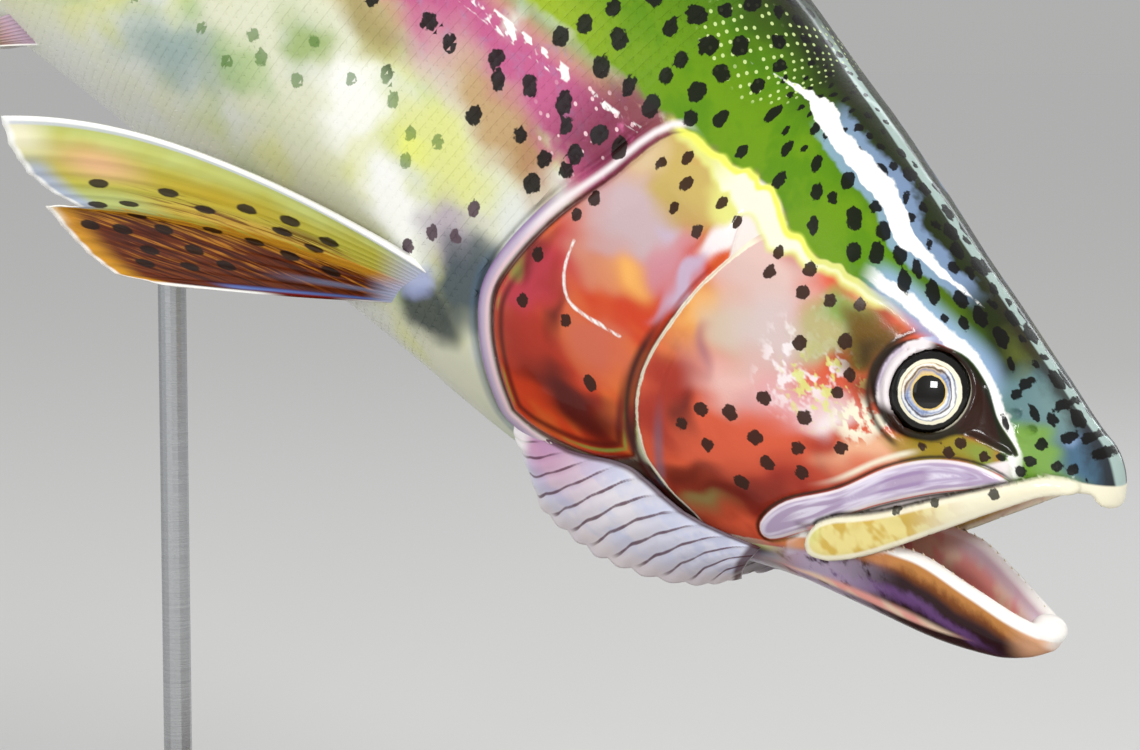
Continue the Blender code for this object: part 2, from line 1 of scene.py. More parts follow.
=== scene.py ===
# %% [markdown]
# # A rainbow trout, from solids to a wet, spotted fish
# The solid model already gives the fish its size, its swimming bend and its open mouth.
# This lesson dresses it: one skin over the flesh, fine scales, ribbed fins, glassy eyes,
# and a plain stand. Everything is drawn first on a straight fish, because a straight body
# is easy to measure, and only then laid along the same bent spine as the solids.

# %% Load the solid model
import itertools
import math
import time

import bmesh
import bpy
import numpy as np
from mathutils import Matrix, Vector


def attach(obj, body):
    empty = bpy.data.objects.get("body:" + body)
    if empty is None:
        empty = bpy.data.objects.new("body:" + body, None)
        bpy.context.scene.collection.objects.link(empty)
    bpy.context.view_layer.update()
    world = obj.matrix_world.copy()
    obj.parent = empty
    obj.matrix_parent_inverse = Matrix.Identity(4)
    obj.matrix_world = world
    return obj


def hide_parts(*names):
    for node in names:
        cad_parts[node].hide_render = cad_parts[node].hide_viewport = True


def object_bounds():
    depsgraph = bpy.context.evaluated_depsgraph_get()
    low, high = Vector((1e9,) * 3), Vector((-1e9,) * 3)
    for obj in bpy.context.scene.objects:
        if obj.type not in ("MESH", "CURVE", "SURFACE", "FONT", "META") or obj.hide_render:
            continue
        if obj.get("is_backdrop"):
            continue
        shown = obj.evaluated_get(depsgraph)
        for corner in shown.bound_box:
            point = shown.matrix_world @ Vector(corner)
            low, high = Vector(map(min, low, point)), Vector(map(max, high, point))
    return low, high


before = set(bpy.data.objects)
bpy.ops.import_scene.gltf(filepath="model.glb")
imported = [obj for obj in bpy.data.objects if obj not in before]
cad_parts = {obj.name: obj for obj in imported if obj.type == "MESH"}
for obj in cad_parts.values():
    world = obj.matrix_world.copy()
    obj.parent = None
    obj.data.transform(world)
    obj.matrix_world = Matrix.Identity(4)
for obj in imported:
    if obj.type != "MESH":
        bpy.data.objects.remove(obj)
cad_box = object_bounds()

started = time.time()
BODY = "root"
print("solid model:", [round(v, 3) for v in (*cad_box[0], *cad_box[1])], len(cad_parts), "nodes")

# %% [markdown]
# ## The straight fish
# A trout's cross-section is close to a superellipse: an oval with slightly full corners.
# Four curves along the body give its back, belly, half width and fullness. A smooth curve
# that never overshoots its points keeps the outline free of ripples.

# %% Curves along the body, in millimetres
MM = 0.001
STANDARD_LENGTH = 550.0
NOSE_RADIUS = 7.0
SNOUT_PLACE = (176.0, -88.0, 150.0)
STATIONS = [(0, 9.0, 7.5, 7.5), (6.6, 11.8, 12.0, 9.8), (22, 22.6, 24.0, 15.4), (44, 38.1, 35.0, 20.8),
            (69, 52.5, 42.5, 26.0), (99, 62.3, 51.0, 30.2), (137.5, 65.3, 61.5, 33.8),
            (192.5, 72.2, 69.0, 35.4), (242, 74.8, 72.6, 35.2), (302.5, 69.3, 70.4, 32.5),
            (357.5, 57.2, 58.9, 27.0), (412.5, 43.5, 41.8, 19.8), (467.5, 30.3, 27.4, 13.2),
            (506, 26.0, 23.6, 9.6), (550, 29.7, 28.6, 6.0)]
ROUNDNESS = [(0, 2.0), (40, 2.2), (100, 2.35), (160, 2.2), (300, 2.1), (550, 2.0)]
PITCH = [(0, 13), (44, 15), (88, 25), (137.5, 45), (220, 42), (330, 30), (467.5, 30), (550, 29)]
YAW = [(0, 37), (44, 37), (88, 36), (137.5, 30), (220, 16), (330, 0), (467.5, -11), (550, -18)]


def smooth_curve(points):
    """A smooth curve through (x, value) points that never overshoots them."""
    x, y = (np.array(column, dtype=float) for column in zip(*points))
    step, rise = np.diff(x), np.diff(y) / np.diff(x)
    slope = np.zeros(len(x))
    slope[0], slope[-1] = rise[0], rise[-1]
    for i in range(1, len(x) - 1):
        if rise[i - 1] * rise[i] > 0:
            before, after = 2 * step[i] + step[i - 1], step[i] + 2 * step[i - 1]
            slope[i] = (before + after) / (before / rise[i - 1] + after / rise[i])

    def value(at):
        at = np.clip(np.asarray(at, dtype=float), x[0], x[-1])
        k = np.clip(np.searchsorted(x, at) - 1, 0, len(x) - 2)
        s = (at - x[k]) / step[k]
        start = (1 + 2 * s) * (1 - s) ** 2 * y[k] + s * (1 - s) ** 2 * step[k] * slope[k]
        end = s * s * (3 - 2 * s) * y[k + 1] + s * s * (s - 1) * step[k] * slope[k + 1]
        return start + end
    return value


back = smooth_curve([(row[0], row[1]) for row in STATIONS])
belly = smooth_curve([(row[0], row[2]) for row in STATIONS])
flank = smooth_curve([(row[0], row[3]) for row in STATIONS])
roundness = smooth_curve(ROUNDNESS)
pitch_deg, yaw_deg = smooth_curve(PITCH), smooth_curve(YAW)
print("depth at the shoulder:", round(float(back(200) + belly(200)), 1), "mm")


# %% Sections, and the bent spine
def section_point(x, angle, grow=0.0):
    """y, z of the section at x; the angle turns from the back to the right side."""
    power = roundness(x)
    c, s = np.cos(angle), np.sin(angle)
    height = np.where(c > 0, back(x), belly(x)) + grow
    width = flank(x) + grow
    return (width * np.sign(s) * np.abs(s) ** (2 / power),
            height * np.sign(c) * np.abs(c) ** (2 / power))


def side_y(x, z, grow=0.0):
    """Half width of the body at height z."""
    power = roundness(x)
    taper = np.sqrt(1 - (1 - np.clip(np.asarray(x) / NOSE_RADIUS, 0, 1)) ** 2)
    height = np.where(np.asarray(z) > 0, back(x), belly(x)) * taper + grow
    share = np.clip(np.abs(z) / np.maximum(height, 1e-6), 0, 1)
    return (flank(x) * taper + grow) * (1 - share ** power) ** (1 / power)


def spine_axes(x):
    """Unit vectors of the spine at x: forward, towards the back, towards the right side."""
    pitch, yaw = np.radians(pitch_deg(x)), np.radians(yaw_deg(x))
    forward = np.stack([np.cos(pitch) * np.cos(yaw), -np.cos(pitch) * np.sin(yaw),
                        -np.sin(pitch)], -1)
    dorsal = np.stack([np.sin(pitch) * np.cos(yaw), -np.sin(pitch) * np.sin(yaw),
                       np.cos(pitch)], -1)
    right = np.stack([-np.sin(yaw), -np.cos(yaw), np.zeros_like(yaw)], -1)
    return forward, dorsal, right


SPINE_X = np.linspace(-20.0, 680.0, 1401)
ahead = spine_axes(SPINE_X)[0]
TRACK = np.vstack([np.zeros(3), -np.cumsum((ahead[1:] + ahead[:-1]) / 2 * 0.5, axis=0)])
TRACK += np.array(SNOUT_PLACE) - TRACK[np.argmin(np.abs(SPINE_X))]


def lay(points):
    """Straight points (n, 3) in millimetres, laid along the spine, in metres."""
    points = np.asarray(points, dtype=float)
    x, y, z = points[:, 0], points[:, 1], points[:, 2]
    centre = np.stack([np.interp(x, SPINE_X, TRACK[:, k]) for k in range(3)], -1)
    _, dorsal, right = spine_axes(x)
    return (centre + right * y[:, None] + dorsal * z[:, None]) * MM


print("tail root sits at", lay([(STANDARD_LENGTH, 0, 0)])[0].round(3))

# %% [markdown]
# ## Lines drawn on the head
# A trout's face is a set of thin bony plates: the gill cover, the cheek plate in front of
# it, and the maxilla with its small supramaxilla over the mouth. Each is described by its
# outline seen from the side. A smoothed outline and the distance to it are enough to raise
# a plate, cut a crease beside it, and later colour both exactly where the shape turns.


# %% Outlines and distances
def smooth_line(points, count=48, closed=False):
    """A dense smooth line through points in the side view (x, z)."""
    p = np.array(points, dtype=float)
    p = np.vstack([p[-1], p, p[0], p[1]]) if closed else np.vstack([2 * p[0] - p[1], p, 2 * p[-1] - p[-2]])
    spans = len(p) - 3
    t = np.linspace(0, spans, count, endpoint=False) if closed else np.linspace(0, spans, count)
    k = np.minimum(t.astype(int), spans - 1)
    s = (t - k)[:, None]
    a, b, c, d = p[k], p[k + 1], p[k + 2], p[k + 3]
    return 0.5 * (2 * b + (c - a) * s + (2 * a - 5 * b + 4 * c - d) * s ** 2
                  + (3 * b - a - 3 * c + d) * s ** 3)


def line_distance(line, x, z):
    """Distance from each (x, z) to a line, in millimetres."""
    best = np.full(np.broadcast(x, z).shape, 1e9)
    for (ax, az), (bx, bz) in zip(line[:-1], line[1:]):
        dx, dz = bx - ax, bz - az
        t = np.clip(((x - ax) * dx + (z - az) * dz) / max(dx * dx + dz * dz, 1e-12), 0, 1)
        np.minimum(best, (x - ax - t * dx) ** 2 + (z - az - t * dz) ** 2, out=best)
    return np.sqrt(best)


def inside(line, x, z):
    """True within a closed outline."""
    found = np.zeros(np.broadcast(x, z).shape, bool)
    for (ax, az), (bx, bz) in zip(line, np.roll(line, -1, axis=0)):
        if az != bz:
            found ^= ((az > z) != (bz > z)) & (x < (bx - ax) * (z - az) / (bz - az) + ax)
    return found


def depth_in(line, x, z):
    """Distance inside a closed outline, negative outside it."""
    far = line_distance(np.vstack([line, line[:1]]), x, z)
    return np.where(inside(line, x, z), far, -far)


def rise(value, low, high):
    """0 below low, 1 above high, smooth in between."""
    t = np.clip((value - low) / (high - low), 0, 1)
    return t * t * (3 - 2 * t)


def bell(value, width):
    """1 at zero, falling away on both sides."""
    return np.exp(-(value / width) ** 2)


print("a bell one width out:", round(float(bell(1.0, 1.0)), 2))

# %% The outlines of the face, in millimetres (x back from the snout, z up from the axis)
COVER_REAR = smooth_line([(103, 36), (119, 37.5), (135.2, 34.9), (139.2, 15.9), (142.4, 1.3),
    (143.4, -12.9), (142.3, -23.6), (137.8, -30.9), (130.6, -38.3), (124.2, -44.2)])
COVER_LOW = smooth_line([(124.2, -44.2), (118.4, -43.3), (110.1, -39.4), (104.1, -35.4), (98.7, -30)], 16)
CHEEK_REAR = smooth_line([(92, 33), (96, 27.6), (101.8, 14.5), (104.1, 1), (104.3, -8.7), (102.6, -17.1),
    (99.4, -24.4), (96.2, -28.8), (90.3, -33), (85.3, -35.3), (80, -38), (66, -33.5)])
CHEEK_FRONT = [(57, -27), (44, -17), (26, -4), (24, 16), (38, 27), (60, 30)]
BACK_EDGE = smooth_line([(560, 10), (420, 10), (320, 14), (250, 19), (192, 25.5), (160, 31.5),
    (138.4, 35.5), (130, 37), (119, 38.5), (107.5, 40.5), (99, 40.5), (92.5, 38.7), (87, 35), (78, 33),
    (66, 31), (59, 30), (52, 28), (44, 25.5), (33, 19.5), (25, 10), (20, -1.5)], 110)
LATERAL = smooth_line([(143, 28), (154, 25), (164, 23), (172, 21), (196, 16), (230, 10), (300, 6),
    (420, 2), (560, 0)], 60)
# The pale arc across the lower cover is a painted highlight.
HIGHLIGHT_ARC = smooth_line([(135, 1), (133.5, -3), (131, -7), (127, -10), (122, -9.5), (117, -8),
    (112, -6.8)], 24)
SUPRAMAXILLA = smooth_line([(19.2, -0.6), (27, 1.2), (36.5, -0.5), (45.6, -5.6), (54.6, -13.6),
    (65.3, -21.1), (70.1, -28.9), (68, -32.3), (59.3, -25.4), (47.9, -15.7), (35.1, -8.0),
    (25, -3.6)], 60, closed=True)
TEARDROP = smooth_line([(54.4, 13.6), (49.5, 22.3), (37.5, 23.2), (30, 18.5), (24.8, 11.8), (19, 5.2),
    (30.9, 6.6), (37.5, 3.2), (47.8, 3.6)], 48, closed=True)
BROW = smooth_line([(66, 34), (54, 30.8), (44, 26.5), (33, 20.8), (25, 12.5), (20, 6), (18, 2)])
# The line of a painted highlight streak over the wet nape and forehead.
HIGHLIGHT_STREAK = smooth_line([(142, 52), (135, 55.5), (120, 58.5), (103, 58), (86, 54), (69, 48), (60, 42),
    (50, 37.5), (38, 32)])
COVER = np.vstack([COVER_REAR, COVER_LOW[1:], CHEEK_REAR[20:5:-1]])
CHEEK = np.vstack([CHEEK_REAR, CHEEK_FRONT])
EYE_PLACE = (40.5, 13.4)
NOSTRILS = [(18.6, 11.2), (22.6, 13.6)]
print("outlines:", len(COVER), len(CHEEK), len(BACK_EDGE), "points")


# %% Distances that both the shape and the colours use
def face_lines(x, z):
    """Signed distances in the side view: inside the cover, the cheek and the supramaxilla."""
    cheek = line_distance(CHEEK_REAR, x, z)
    return {"cover": depth_in(COVER, x, z),
            "cheek": np.where(inside(CHEEK, x, z), cheek, -cheek),
            "supra": depth_in(SUPRAMAXILLA, x, z),
            "tear": depth_in(TEARDROP, x, z),
            "brow": line_distance(BROW, x, z),
            "eye": np.hypot(x - EYE_PLACE[0], z - EYE_PLACE[1])}


def face_relief(x, z):
    """Height in millimetres of the plates, rims, folds and pits over the plain body."""
    line = face_lines(x, z)
    cover, cheek, supra, eye = line["cover"], line["cheek"], line["supra"], line["eye"]
    low_part = 1 - rise(z, 26, 36)
    plate = rise(cover, -0.2, 1.5) * (0.75 + 0.35 * rise(x, 104, 140)) + 0.5 * bell(cover - 9, 5)
    flap = rise(cover, -5.0, -4.0) * 0.65 * (1 - rise(cover, -0.9, 0.2))
    slit = -0.9 * bell(cover + 5.4, 0.7)
    high = low_part * (plate + flap + slit - 0.55 * bell(cover + 0.35, 0.6)) * rise(x, 96, 104)
    high += rise(cheek, -0.3, 1.5) * (0.35 + 0.95 * np.exp(-np.maximum(cheek, 0) / 10)) * (
        1 - rise(z, 24, 33)) * rise(x, 60, 74) - 0.45 * bell(cheek + 0.7, 0.7) * rise(x, 66, 74) * (
        1 - rise(z, 24, 32))
    ridge = np.hypot((x - 84) * 0.55 - (z + 12) * 0.2, (z + 12) * 0.6 + (x - 84) * 0.25)
    high += 0.8 * bell(ridge, 9)
    high += 0.6 * rise(supra, -0.1, 1.1) - 0.4 * bell(supra + 0.5, 0.5)
    high += 0.65 * bell(eye - 9.4, 1.2) - 0.5 * bell(eye - 11.8, 0.8) * rise(x, 34, 40)
    high -= 0.55 * rise(line["tear"], 0, 1.6) * (1 - bell(eye - 9.4, 1.6))
    high += 0.8 * bell(line["brow"], 2.0) * rise(x, 20, 26) * (1 - rise(x, 62, 78))
    for nx, nz in NOSTRILS:
        near = np.hypot(x - nx, (z - nz) * 1.2)
        high += 0.5 * bell(near - 1.9, 0.6) - 1.9 * bell(near, 1.0)
    return high


print("cover stands", round(float(face_relief(np.array([138.0]), np.array([0.0]))[0]), 2), "mm proud")

# %% [markdown]
# ## One skin from a distance field
# Pushing vertices about can't open a mouth or fold a lip. A distance field can: it is a
# function that is negative inside the flesh and positive outside, and shapes are joined
# with a minimum and cut with a maximum, softened where flesh should flow together. The
# field holds the head, the lower jaw, the lips and the roof of the mouth in one piece.


# %% Soft joins, and the plain body as a field
def join(a, b, soft=0.0):
    """Union of two fields; soft is the width of the fillet in millimetres."""
    if soft <= 0:
        return np.minimum(a, b)
    h = np.clip(0.5 + 0.5 * (b - a) / soft, 0, 1)
    return b * (1 - h) + a * h - soft * h * (1 - h)


def cut(a, b, soft=0.0):
    """Field a with b taken away."""
    return -join(-a, b, soft)


def body_field(x, y, z):
    """Roughly the distance in millimetres to the plain body."""
    power, nose = roundness(x), np.maximum(0, 1 - x / NOSE_RADIUS)
    height, width = np.where(z > 0, back(x), belly(x)), flank(x)
    a, b = np.abs(y) / width + 1e-9, np.abs(z) / height + 1e-9
    g = (a ** power + b ** power) ** (1 / power)
    q = np.sqrt(g * g + nose * nose)
    slope = (g * (a / g) ** (power - 1) / width) ** 2 + (g * (b / g) ** (power - 1) / height) ** 2
    return (q - 1) * q / np.sqrt(slope + (nose / NOSE_RADIUS) ** 2)


def ball_field(x, y, z, centre, radii):
    """Roughly the distance to an ellipsoid."""
    parts = [(v - c) / r for v, c, r in zip((x, y, z), centre, radii)]
    g = np.sqrt(sum(p * p for p in parts)) + 1e-9
    return (g - 1) * g / np.sqrt(sum((p / r) ** 2 for p, r in zip(parts, radii)) + 1e-12)


one_out = body_field(*(np.array([v]) for v in (200.0, float(flank(200)) + 1, 0.0)))
print("one millimetre off the flank the field says", round(float(one_out[0]), 2))


# %% The mouth: lip line, lower jaw, maxilla
lip_line = smooth_curve([(-4, -2.6), (1.5, -2.0), (4.2, 0.8), (10, -0.3), (16, -3.4), (23, -7.6),
    (38, -15.6), (64, -26.5), (74, -30)])
jaw_rim = smooth_curve([(6, -33.8), (14, -31.6), (24, -28.0), (38, -24.2), (50, -25.0), (66, -29.5),
    (80, -33)])
jaw_keel = smooth_curve([(6, -36.0), (12, -40.0), (19, -42.3), (33, -43.4), (49, -42.6), (66, -42.2),
    (80, -44)])
jaw_width = smooth_curve([(6, 1.8), (10, 5.6), (16, 9.0), (26, 12.4), (40, 15.4), (66, 17.6), (80, 19)])
maxilla_middle = smooth_curve([(0, 2.0), (0.12, 0.4), (0.25, -3.6), (0.5, -12.4), (0.8, -23.0),
    (1, -28.0)])
maxilla_half = smooth_curve([(0, 1.5), (0.12, 2.1), (0.3, 3.0), (0.65, 4.6), (0.88, 5.4), (0.97, 4.0),
    (1, 2.6)])
MAXILLA_START, MAXILLA_LENGTH = 5.5, 54.0
MOUTH_END = 66.0
LIP_LEAN = -17.0                    # height under which the mouth's side leans in


def maxilla_depth(x, z):
    """Distance inside the maxilla's outline in the side view, negative outside."""
    t = (x - MAXILLA_START) / MAXILLA_LENGTH
    end = np.clip(t, 0, 1)
    across = (maxilla_half(end) - np.abs(z - maxilla_middle(end))) * 0.86
    ends = np.minimum(x - MAXILLA_START, MAXILLA_START + MAXILLA_LENGTH - x)
    return join(across, ends, 2.5)


def jaw_field(x, y, z):
    """The lower jaw: a boat-shaped trough with a rolled lip and a knob at its tip."""
    rim, keel, half = jaw_rim(x), jaw_keel(x), jaw_width(x)
    deep = rim - keel
    wall = 1.6 + 1.8 * rise(x, 7, 22)
    drop = (rim - z) / deep
    a, b = np.abs(y) / half + 1e-9, np.maximum(drop, 0) + 1e-9
    g = (a ** 2.3 + b ** 2.3) ** (1 / 2.3)
    hull = (g - 1) * g / np.sqrt((g * (a / g) ** 1.3 / half) ** 2 + (g * (b / g) ** 1.3 / deep) ** 2 + 1e-9)
    hull = np.maximum(np.maximum(hull, z - rim), 7.0 - x)
    room_half, room_deep = half - wall, np.maximum(0.6, (deep - 6.0) * rise(x, 8, 24) + 1.2)
    a, b = np.abs(y) / room_half + 1e-9, np.maximum(drop * deep / room_deep, 0) + 1e-9
    g = (a ** 2.2 + b ** 2.2) ** (1 / 2.2)
    room = (g - 1) * g / np.sqrt((g * (a / g) ** 1.2 / room_half) ** 2
            + (g * (b / g) ** 1.2 / room_deep) ** 2 + 1e-9)
    jaw = cut(hull, room, 1.2)
    bead_y = half - wall * 0.5
    bead = np.sqrt((np.abs(y) - bead_y) ** 2 + (z - rim + 0.3) ** 2) - 1.55 - 0.35 * rise(x, 30, 10)
    bead = np.maximum(bead, 8.5 - x)
    jaw = join(jaw, bead, 1.4)
    knob = ball_field(x, y, z, (9.3, 0.0, -32.6), (3.9, 4.2, 3.3))
    jaw = join(jaw, knob, 1.6)
    groove = np.hypot(y, (z - keel + 0.2)) - 0.9
    return cut(jaw, np.maximum(groove, 14 - x), 1.2)


print("the mouth gapes", round(float(lip_line(14) - jaw_rim(14)), 1), "mm near its front")


# %% The whole head as one field
EYE_RADIUS, EYE_DEPTH, EYE_BULGE = 10.3, 4.6, 1.4
facing = np.array((-0.30, 0.94, 0.16)) / np.linalg.norm((-0.30, 0.94, 0.16))
EYE_ON_SKIN = np.array([EYE_PLACE[0], float(side_y(*EYE_PLACE)), EYE_PLACE[1]])
EYE_CENTRE = EYE_ON_SKIN - facing * (EYE_DEPTH - EYE_BULGE)
EYE_ALONG = np.cross(facing, (0.0, 0.0, 1.0))
EYE_ALONG /= np.linalg.norm(EYE_ALONG)
EYE_ACROSS = np.cross(EYE_ALONG, facing)
COAT_DEPTH = 0.35                   # the trunk's skin lies this far inside, under the scales


def lip_side(x, z):
    """Half width of the mouth's side, which leans in below the lip."""
    return side_y(x, np.maximum(z, LIP_LEAN)) - 0.10 * np.maximum(0, LIP_LEAN - z)


def eye_socket(x, y, z):
    """Roughly the distance to the eyeball, which the socket hugs."""
    dx, dy, dz = x - EYE_CENTRE[0], y - EYE_CENTRE[1], z - EYE_CENTRE[2]
    a, b, c = (dx * v[0] + dy * v[1] + dz * v[2] for v in (EYE_ALONG, EYE_ACROSS, facing))
    return ball_field(a, b, c, (0, 0, 0), (EYE_RADIUS + 0.1, EYE_RADIUS + 0.1, EYE_DEPTH + 0.1))


def fin_lobe(x, y, z):
    """The fleshy lobe that the pectoral fin grows from, long across the body."""
    down = z + 42.0
    return np.hypot(np.hypot((x - 159.3 + 0.46 * down) * 1.5, down * 0.75),
                    (y - 24.5 - 0.36 * down) * 1.5) - 4.9


def skin_field(x, y, z):
    """The flesh of the head and shoulder; x, y, z may be any arrays that broadcast."""
    y = np.abs(y)
    relief = face_relief(x, z)
    on_side = rise(y, 3, 9)
    skin = body_field(x, y, z) - relief * on_side + COAT_DEPTH * rise(x, 141, 152)
    mouth = np.maximum(z - lip_line(x), x - (MOUTH_END - 4 + 6 * rise(y, 14, 4)))
    skin = cut(skin, mouth, 1.8)
    roof = ball_field(x, y, z, (44, 0, lip_line(44) - 2), (36, 11.5, 11))
    roof = np.maximum(roof, -(z - lip_line(x) - 7.5 * rise(x, 4, 14) + 20))
    skin = cut(skin, roof, 1.5)
    throat = ball_field(x, y, z, (66, 0, -29.5), (26, 12.5, 7.5))
    skin = join(skin, jaw_field(x, y, z) + 80 * rise(x, 76, 84), 3.0)
    skin = cut(skin, throat, 1.5)
    side = lip_side(x, z)
    depth = maxilla_depth(x, z)
    crown = 0.9 * rise(depth, 0, 2.2)
    slab = np.maximum(np.abs(y - side + 0.35) - 0.75 - crown * 0.5, -depth)
    slab = np.maximum(slab, np.abs(y - side) - 1.3)
    skin = join(skin, slab, 0.5)
    crease = np.maximum(np.abs(depth + 0.35) - 0.3, np.abs(y - side) - 1.0)
    skin = cut(skin, np.maximum(crease, 8 - x), 0.4)
    skin = cut(skin, eye_socket(x, y, z), 1.3)
    return join(skin, fin_lobe(x, y, z), 2.4)


print("eye centre:", EYE_CENTRE.round(1))


# %% [markdown]
# ## From field to mesh
# To turn the field into faces we lay a fine grid over half the head and put one point in
# every grid cell that the surface crosses, joining neighbours with quads (a surface net).
# Marching cubes would do too, but it leaves slivers; a net gives even quads that shade
# well. The points are then relaxed and slid onto the true surface, so the grid leaves no
# trace. Half the head is made and mirrored, which keeps both sides exactly alike.


# %% A surface net
def surface_net(field, xs, ys, zs):
    """Points and quads of the surface where the field is zero."""
    solid = field < 0
    span = [n - 1 for n in field.shape]
    corners = list(itertools.product((0, 1), repeat=3))

    def shifted(values, corner):
        return values[tuple(slice(c, c + n) for c, n in zip(corner, span))]
    total = sum(shifted(solid, c).astype(np.int8) for c in corners)
    cells = np.argwhere((total > 0) & (total < 8))
    number = np.full(span, -1, np.int64)
    number[tuple(cells.T)] = np.arange(len(cells))
    value = np.stack([field[tuple((cells + c).T)] for c in corners], -1)
    axes = (xs, ys, zs)
    place = np.stack([np.stack([axes[k][cells[:, k] + c[k]] for k in range(3)], -1) for c in corners], 1)
    sums, hits = np.zeros((len(cells), 3)), np.zeros(len(cells))
    for a, b in itertools.combinations(range(8), 2):
        if sum(abs(p - q) for p, q in zip(corners[a], corners[b])) != 1:
            continue
        crossed = (value[:, a] < 0) != (value[:, b] < 0)
        t = value[:, a] / np.where(crossed, value[:, a] - value[:, b], 1)
        sums += np.where(crossed[:, None], place[:, a] + t[:, None] * (place[:, b] - place[:, a]), 0)
        hits += crossed
    points = sums / hits[:, None]
    quads = []
    for axis in range(3):
        one, two = (axis + 1) % 3, (axis + 2) % 3
        low = [slice(1, -1)] * 3
        low[axis] = slice(0, -1)
        high = [slice(1, -1)] * 3
        high[axis] = slice(1, None)
        here, there = solid[tuple(low)], solid[tuple(high)]
        for sign in (True, False):
            at = np.argwhere((here != there) & (here == sign)) + [0 if k == axis else 1 for k in range(3)]
            ring = []
            for p, q in ((0, 0), (1, 0), (1, 1), (0, 1)):
                cell = at.copy()
                cell[:, one] -= 1 - p
                cell[:, two] -= 1 - q
                ring.append(number[tuple(cell.T)])
            quads.append(np.stack(ring if sign else ring[::-1], -1))
    return points, np.concatenate(quads), cells


trial = np.linspace(-2, 2, 9)
ball = np.sqrt(trial[:, None, None] ** 2 + trial[None, :, None] ** 2 + trial[None, None, :] ** 2) - 1.4
ball_points, ball_quads = surface_net(ball, trial, trial, trial)[:2]
print("a trial ball:", len(ball_points), "points,", len(ball_quads), "quads")


# %% Relax, and settle on the surface
def relax(points, quads, held, rounds):
    """Each free point moves to the middle of its neighbours."""
    edges = np.concatenate([quads[:, [0, 1]], quads[:, [1, 2]], quads[:, [2, 3]], quads[:, [3, 0]]])
    edges = np.concatenate([edges, edges[:, ::-1]])
    count = np.bincount(edges[:, 0], minlength=len(points))[:, None]
    for _ in range(rounds):
        mean = np.stack([np.bincount(edges[:, 0], points[edges[:, 1], k], len(points)) for k in range(3)],
                        -1)
        moved = 0.5 * points + 0.5 * mean / np.maximum(count, 1)
        moved[:, 1] = np.where(held["middle"], 0.0, moved[:, 1])
        moved[:, 0] = np.where(held["end"], points[:, 0], moved[:, 0])
        points = moved
    return points


def settle(points, held, rounds):
    """Slides the points onto the surface along the field's slope."""
    for _ in range(rounds):
        x, y, z = points.T
        value, e = skin_field(x, y, z), 0.05
        slope = np.stack([skin_field(x + e, y, z) - value, skin_field(x, y + e, z) - value,
                          skin_field(x, y, z + e) - value], -1) / e
        step = value / np.maximum((slope ** 2).sum(-1), 0.25)
        step = np.clip(step, -0.6, 0.6)
        moved = points - slope * step[:, None]
        moved[:, 1] = np.where(held["middle"], 0.0, moved[:, 1])
        moved[:, 0] = np.where(held["end"], points[:, 0], moved[:, 0])
        points = moved
    return points


ball_points = relax(ball_points, ball_quads, {"middle": False, "end": False}, 3)
print("the trial ball's mean radius, relaxed:", round(float(np.linalg.norm(ball_points, axis=1).mean()), 2))

# %% Mesh half the head and shoulder
JOIN_X = 176.0
FINE = 0.72
grid_x = np.arange(-2.5, JOIN_X + 3 * FINE, FINE)
grid_y = np.arange(-0.5, 41.0, 1.0) * (FINE * 1.25)
grid_z = np.arange(-68.0, 76.0, FINE)
grid_y = grid_y[grid_y < 41]
gx = np.minimum(grid_x, grid_x[-4])[:, None, None]
half_field = skin_field(gx, np.abs(grid_y)[None, :, None], grid_z[None, None, :])
half_points, half_quads, half_cells = surface_net(half_field, grid_x, grid_y, grid_z)
held = {"middle": half_cells[:, 1] == 0, "end": half_cells[:, 0] == len(grid_x) - 2}
half_points[held["middle"], 1] = 0.0
half_points = relax(half_points, half_quads, held, 3)
half_points = settle(half_points, held, 4)
print("half a head:", len(half_points), "points in", round(time.time() - started, 1), "s")

# %% Carry on down the trunk, ring by ring
end_ids = np.flatnonzero(held["end"])
end_ids = end_ids[np.argsort(np.arctan2(half_points[end_ids, 1], half_points[end_ids, 2]))]
end_x = float(half_points[end_ids[0], 0])
power = float(roundness(end_x))
tall = np.where(half_points[end_ids, 2] > 0, back(end_x), belly(end_x)) - COAT_DEPTH
across = (half_points[end_ids, 1] / (flank(end_x) - COAT_DEPTH)) ** (power / 2)
upright = np.sign(half_points[end_ids, 2]) * (np.abs(half_points[end_ids, 2]) / tall) ** (power / 2)
first_angles = np.arctan2(across, upright)
even_angles = np.linspace(0, math.pi, len(end_ids))
trunk_x = np.linspace(end_x, STANDARD_LENGTH + 3.0, 90)[1:]
rows = []
for x in trunk_x:
    mix = rise(x, end_x, end_x + 60)
    angles = first_angles * (1 - mix) + even_angles * mix
    y, z = section_point(np.full(len(angles), x), angles, -COAT_DEPTH)
    y[0] = y[-1] = 0.0
    rows.append(np.stack([np.full(len(angles), x), y, z], -1))
last = len(half_points)
trunk_points = np.concatenate(rows)
ring_size = len(end_ids)
ring_ids = np.vstack([end_ids] + [last + k * ring_size + np.arange(ring_size) for k in range(len(rows))])
corners = [ring_ids[:-1, :-1], ring_ids[:-1, 1:], ring_ids[1:, 1:], ring_ids[1:, :-1]]
trunk_quads = np.stack(corners, -1).reshape(-1, 4)


def outward(points, quads):
    """Mean y of the faces' normals, to see which way the faces look."""
    a, b, c = points[quads[:, 0]], points[quads[:, 1]], points[quads[:, 2]]
    return float(np.cross(b - a, c - a)[:, 1].sum())


everything = np.concatenate([half_points, trunk_points])
if outward(half_points, half_quads) * outward(everything, trunk_quads) < 0:
    trunk_quads = trunk_quads[:, ::-1]
half_quads = np.concatenate([half_quads, trunk_quads])
if outward(everything, half_quads) < 0:
    half_quads = half_quads[:, ::-1]
half_points = everything
middle = np.abs(half_points[:, 1]) < 1e-9
print("trunk rings:", len(rows), "of", len(end_ids), "points")

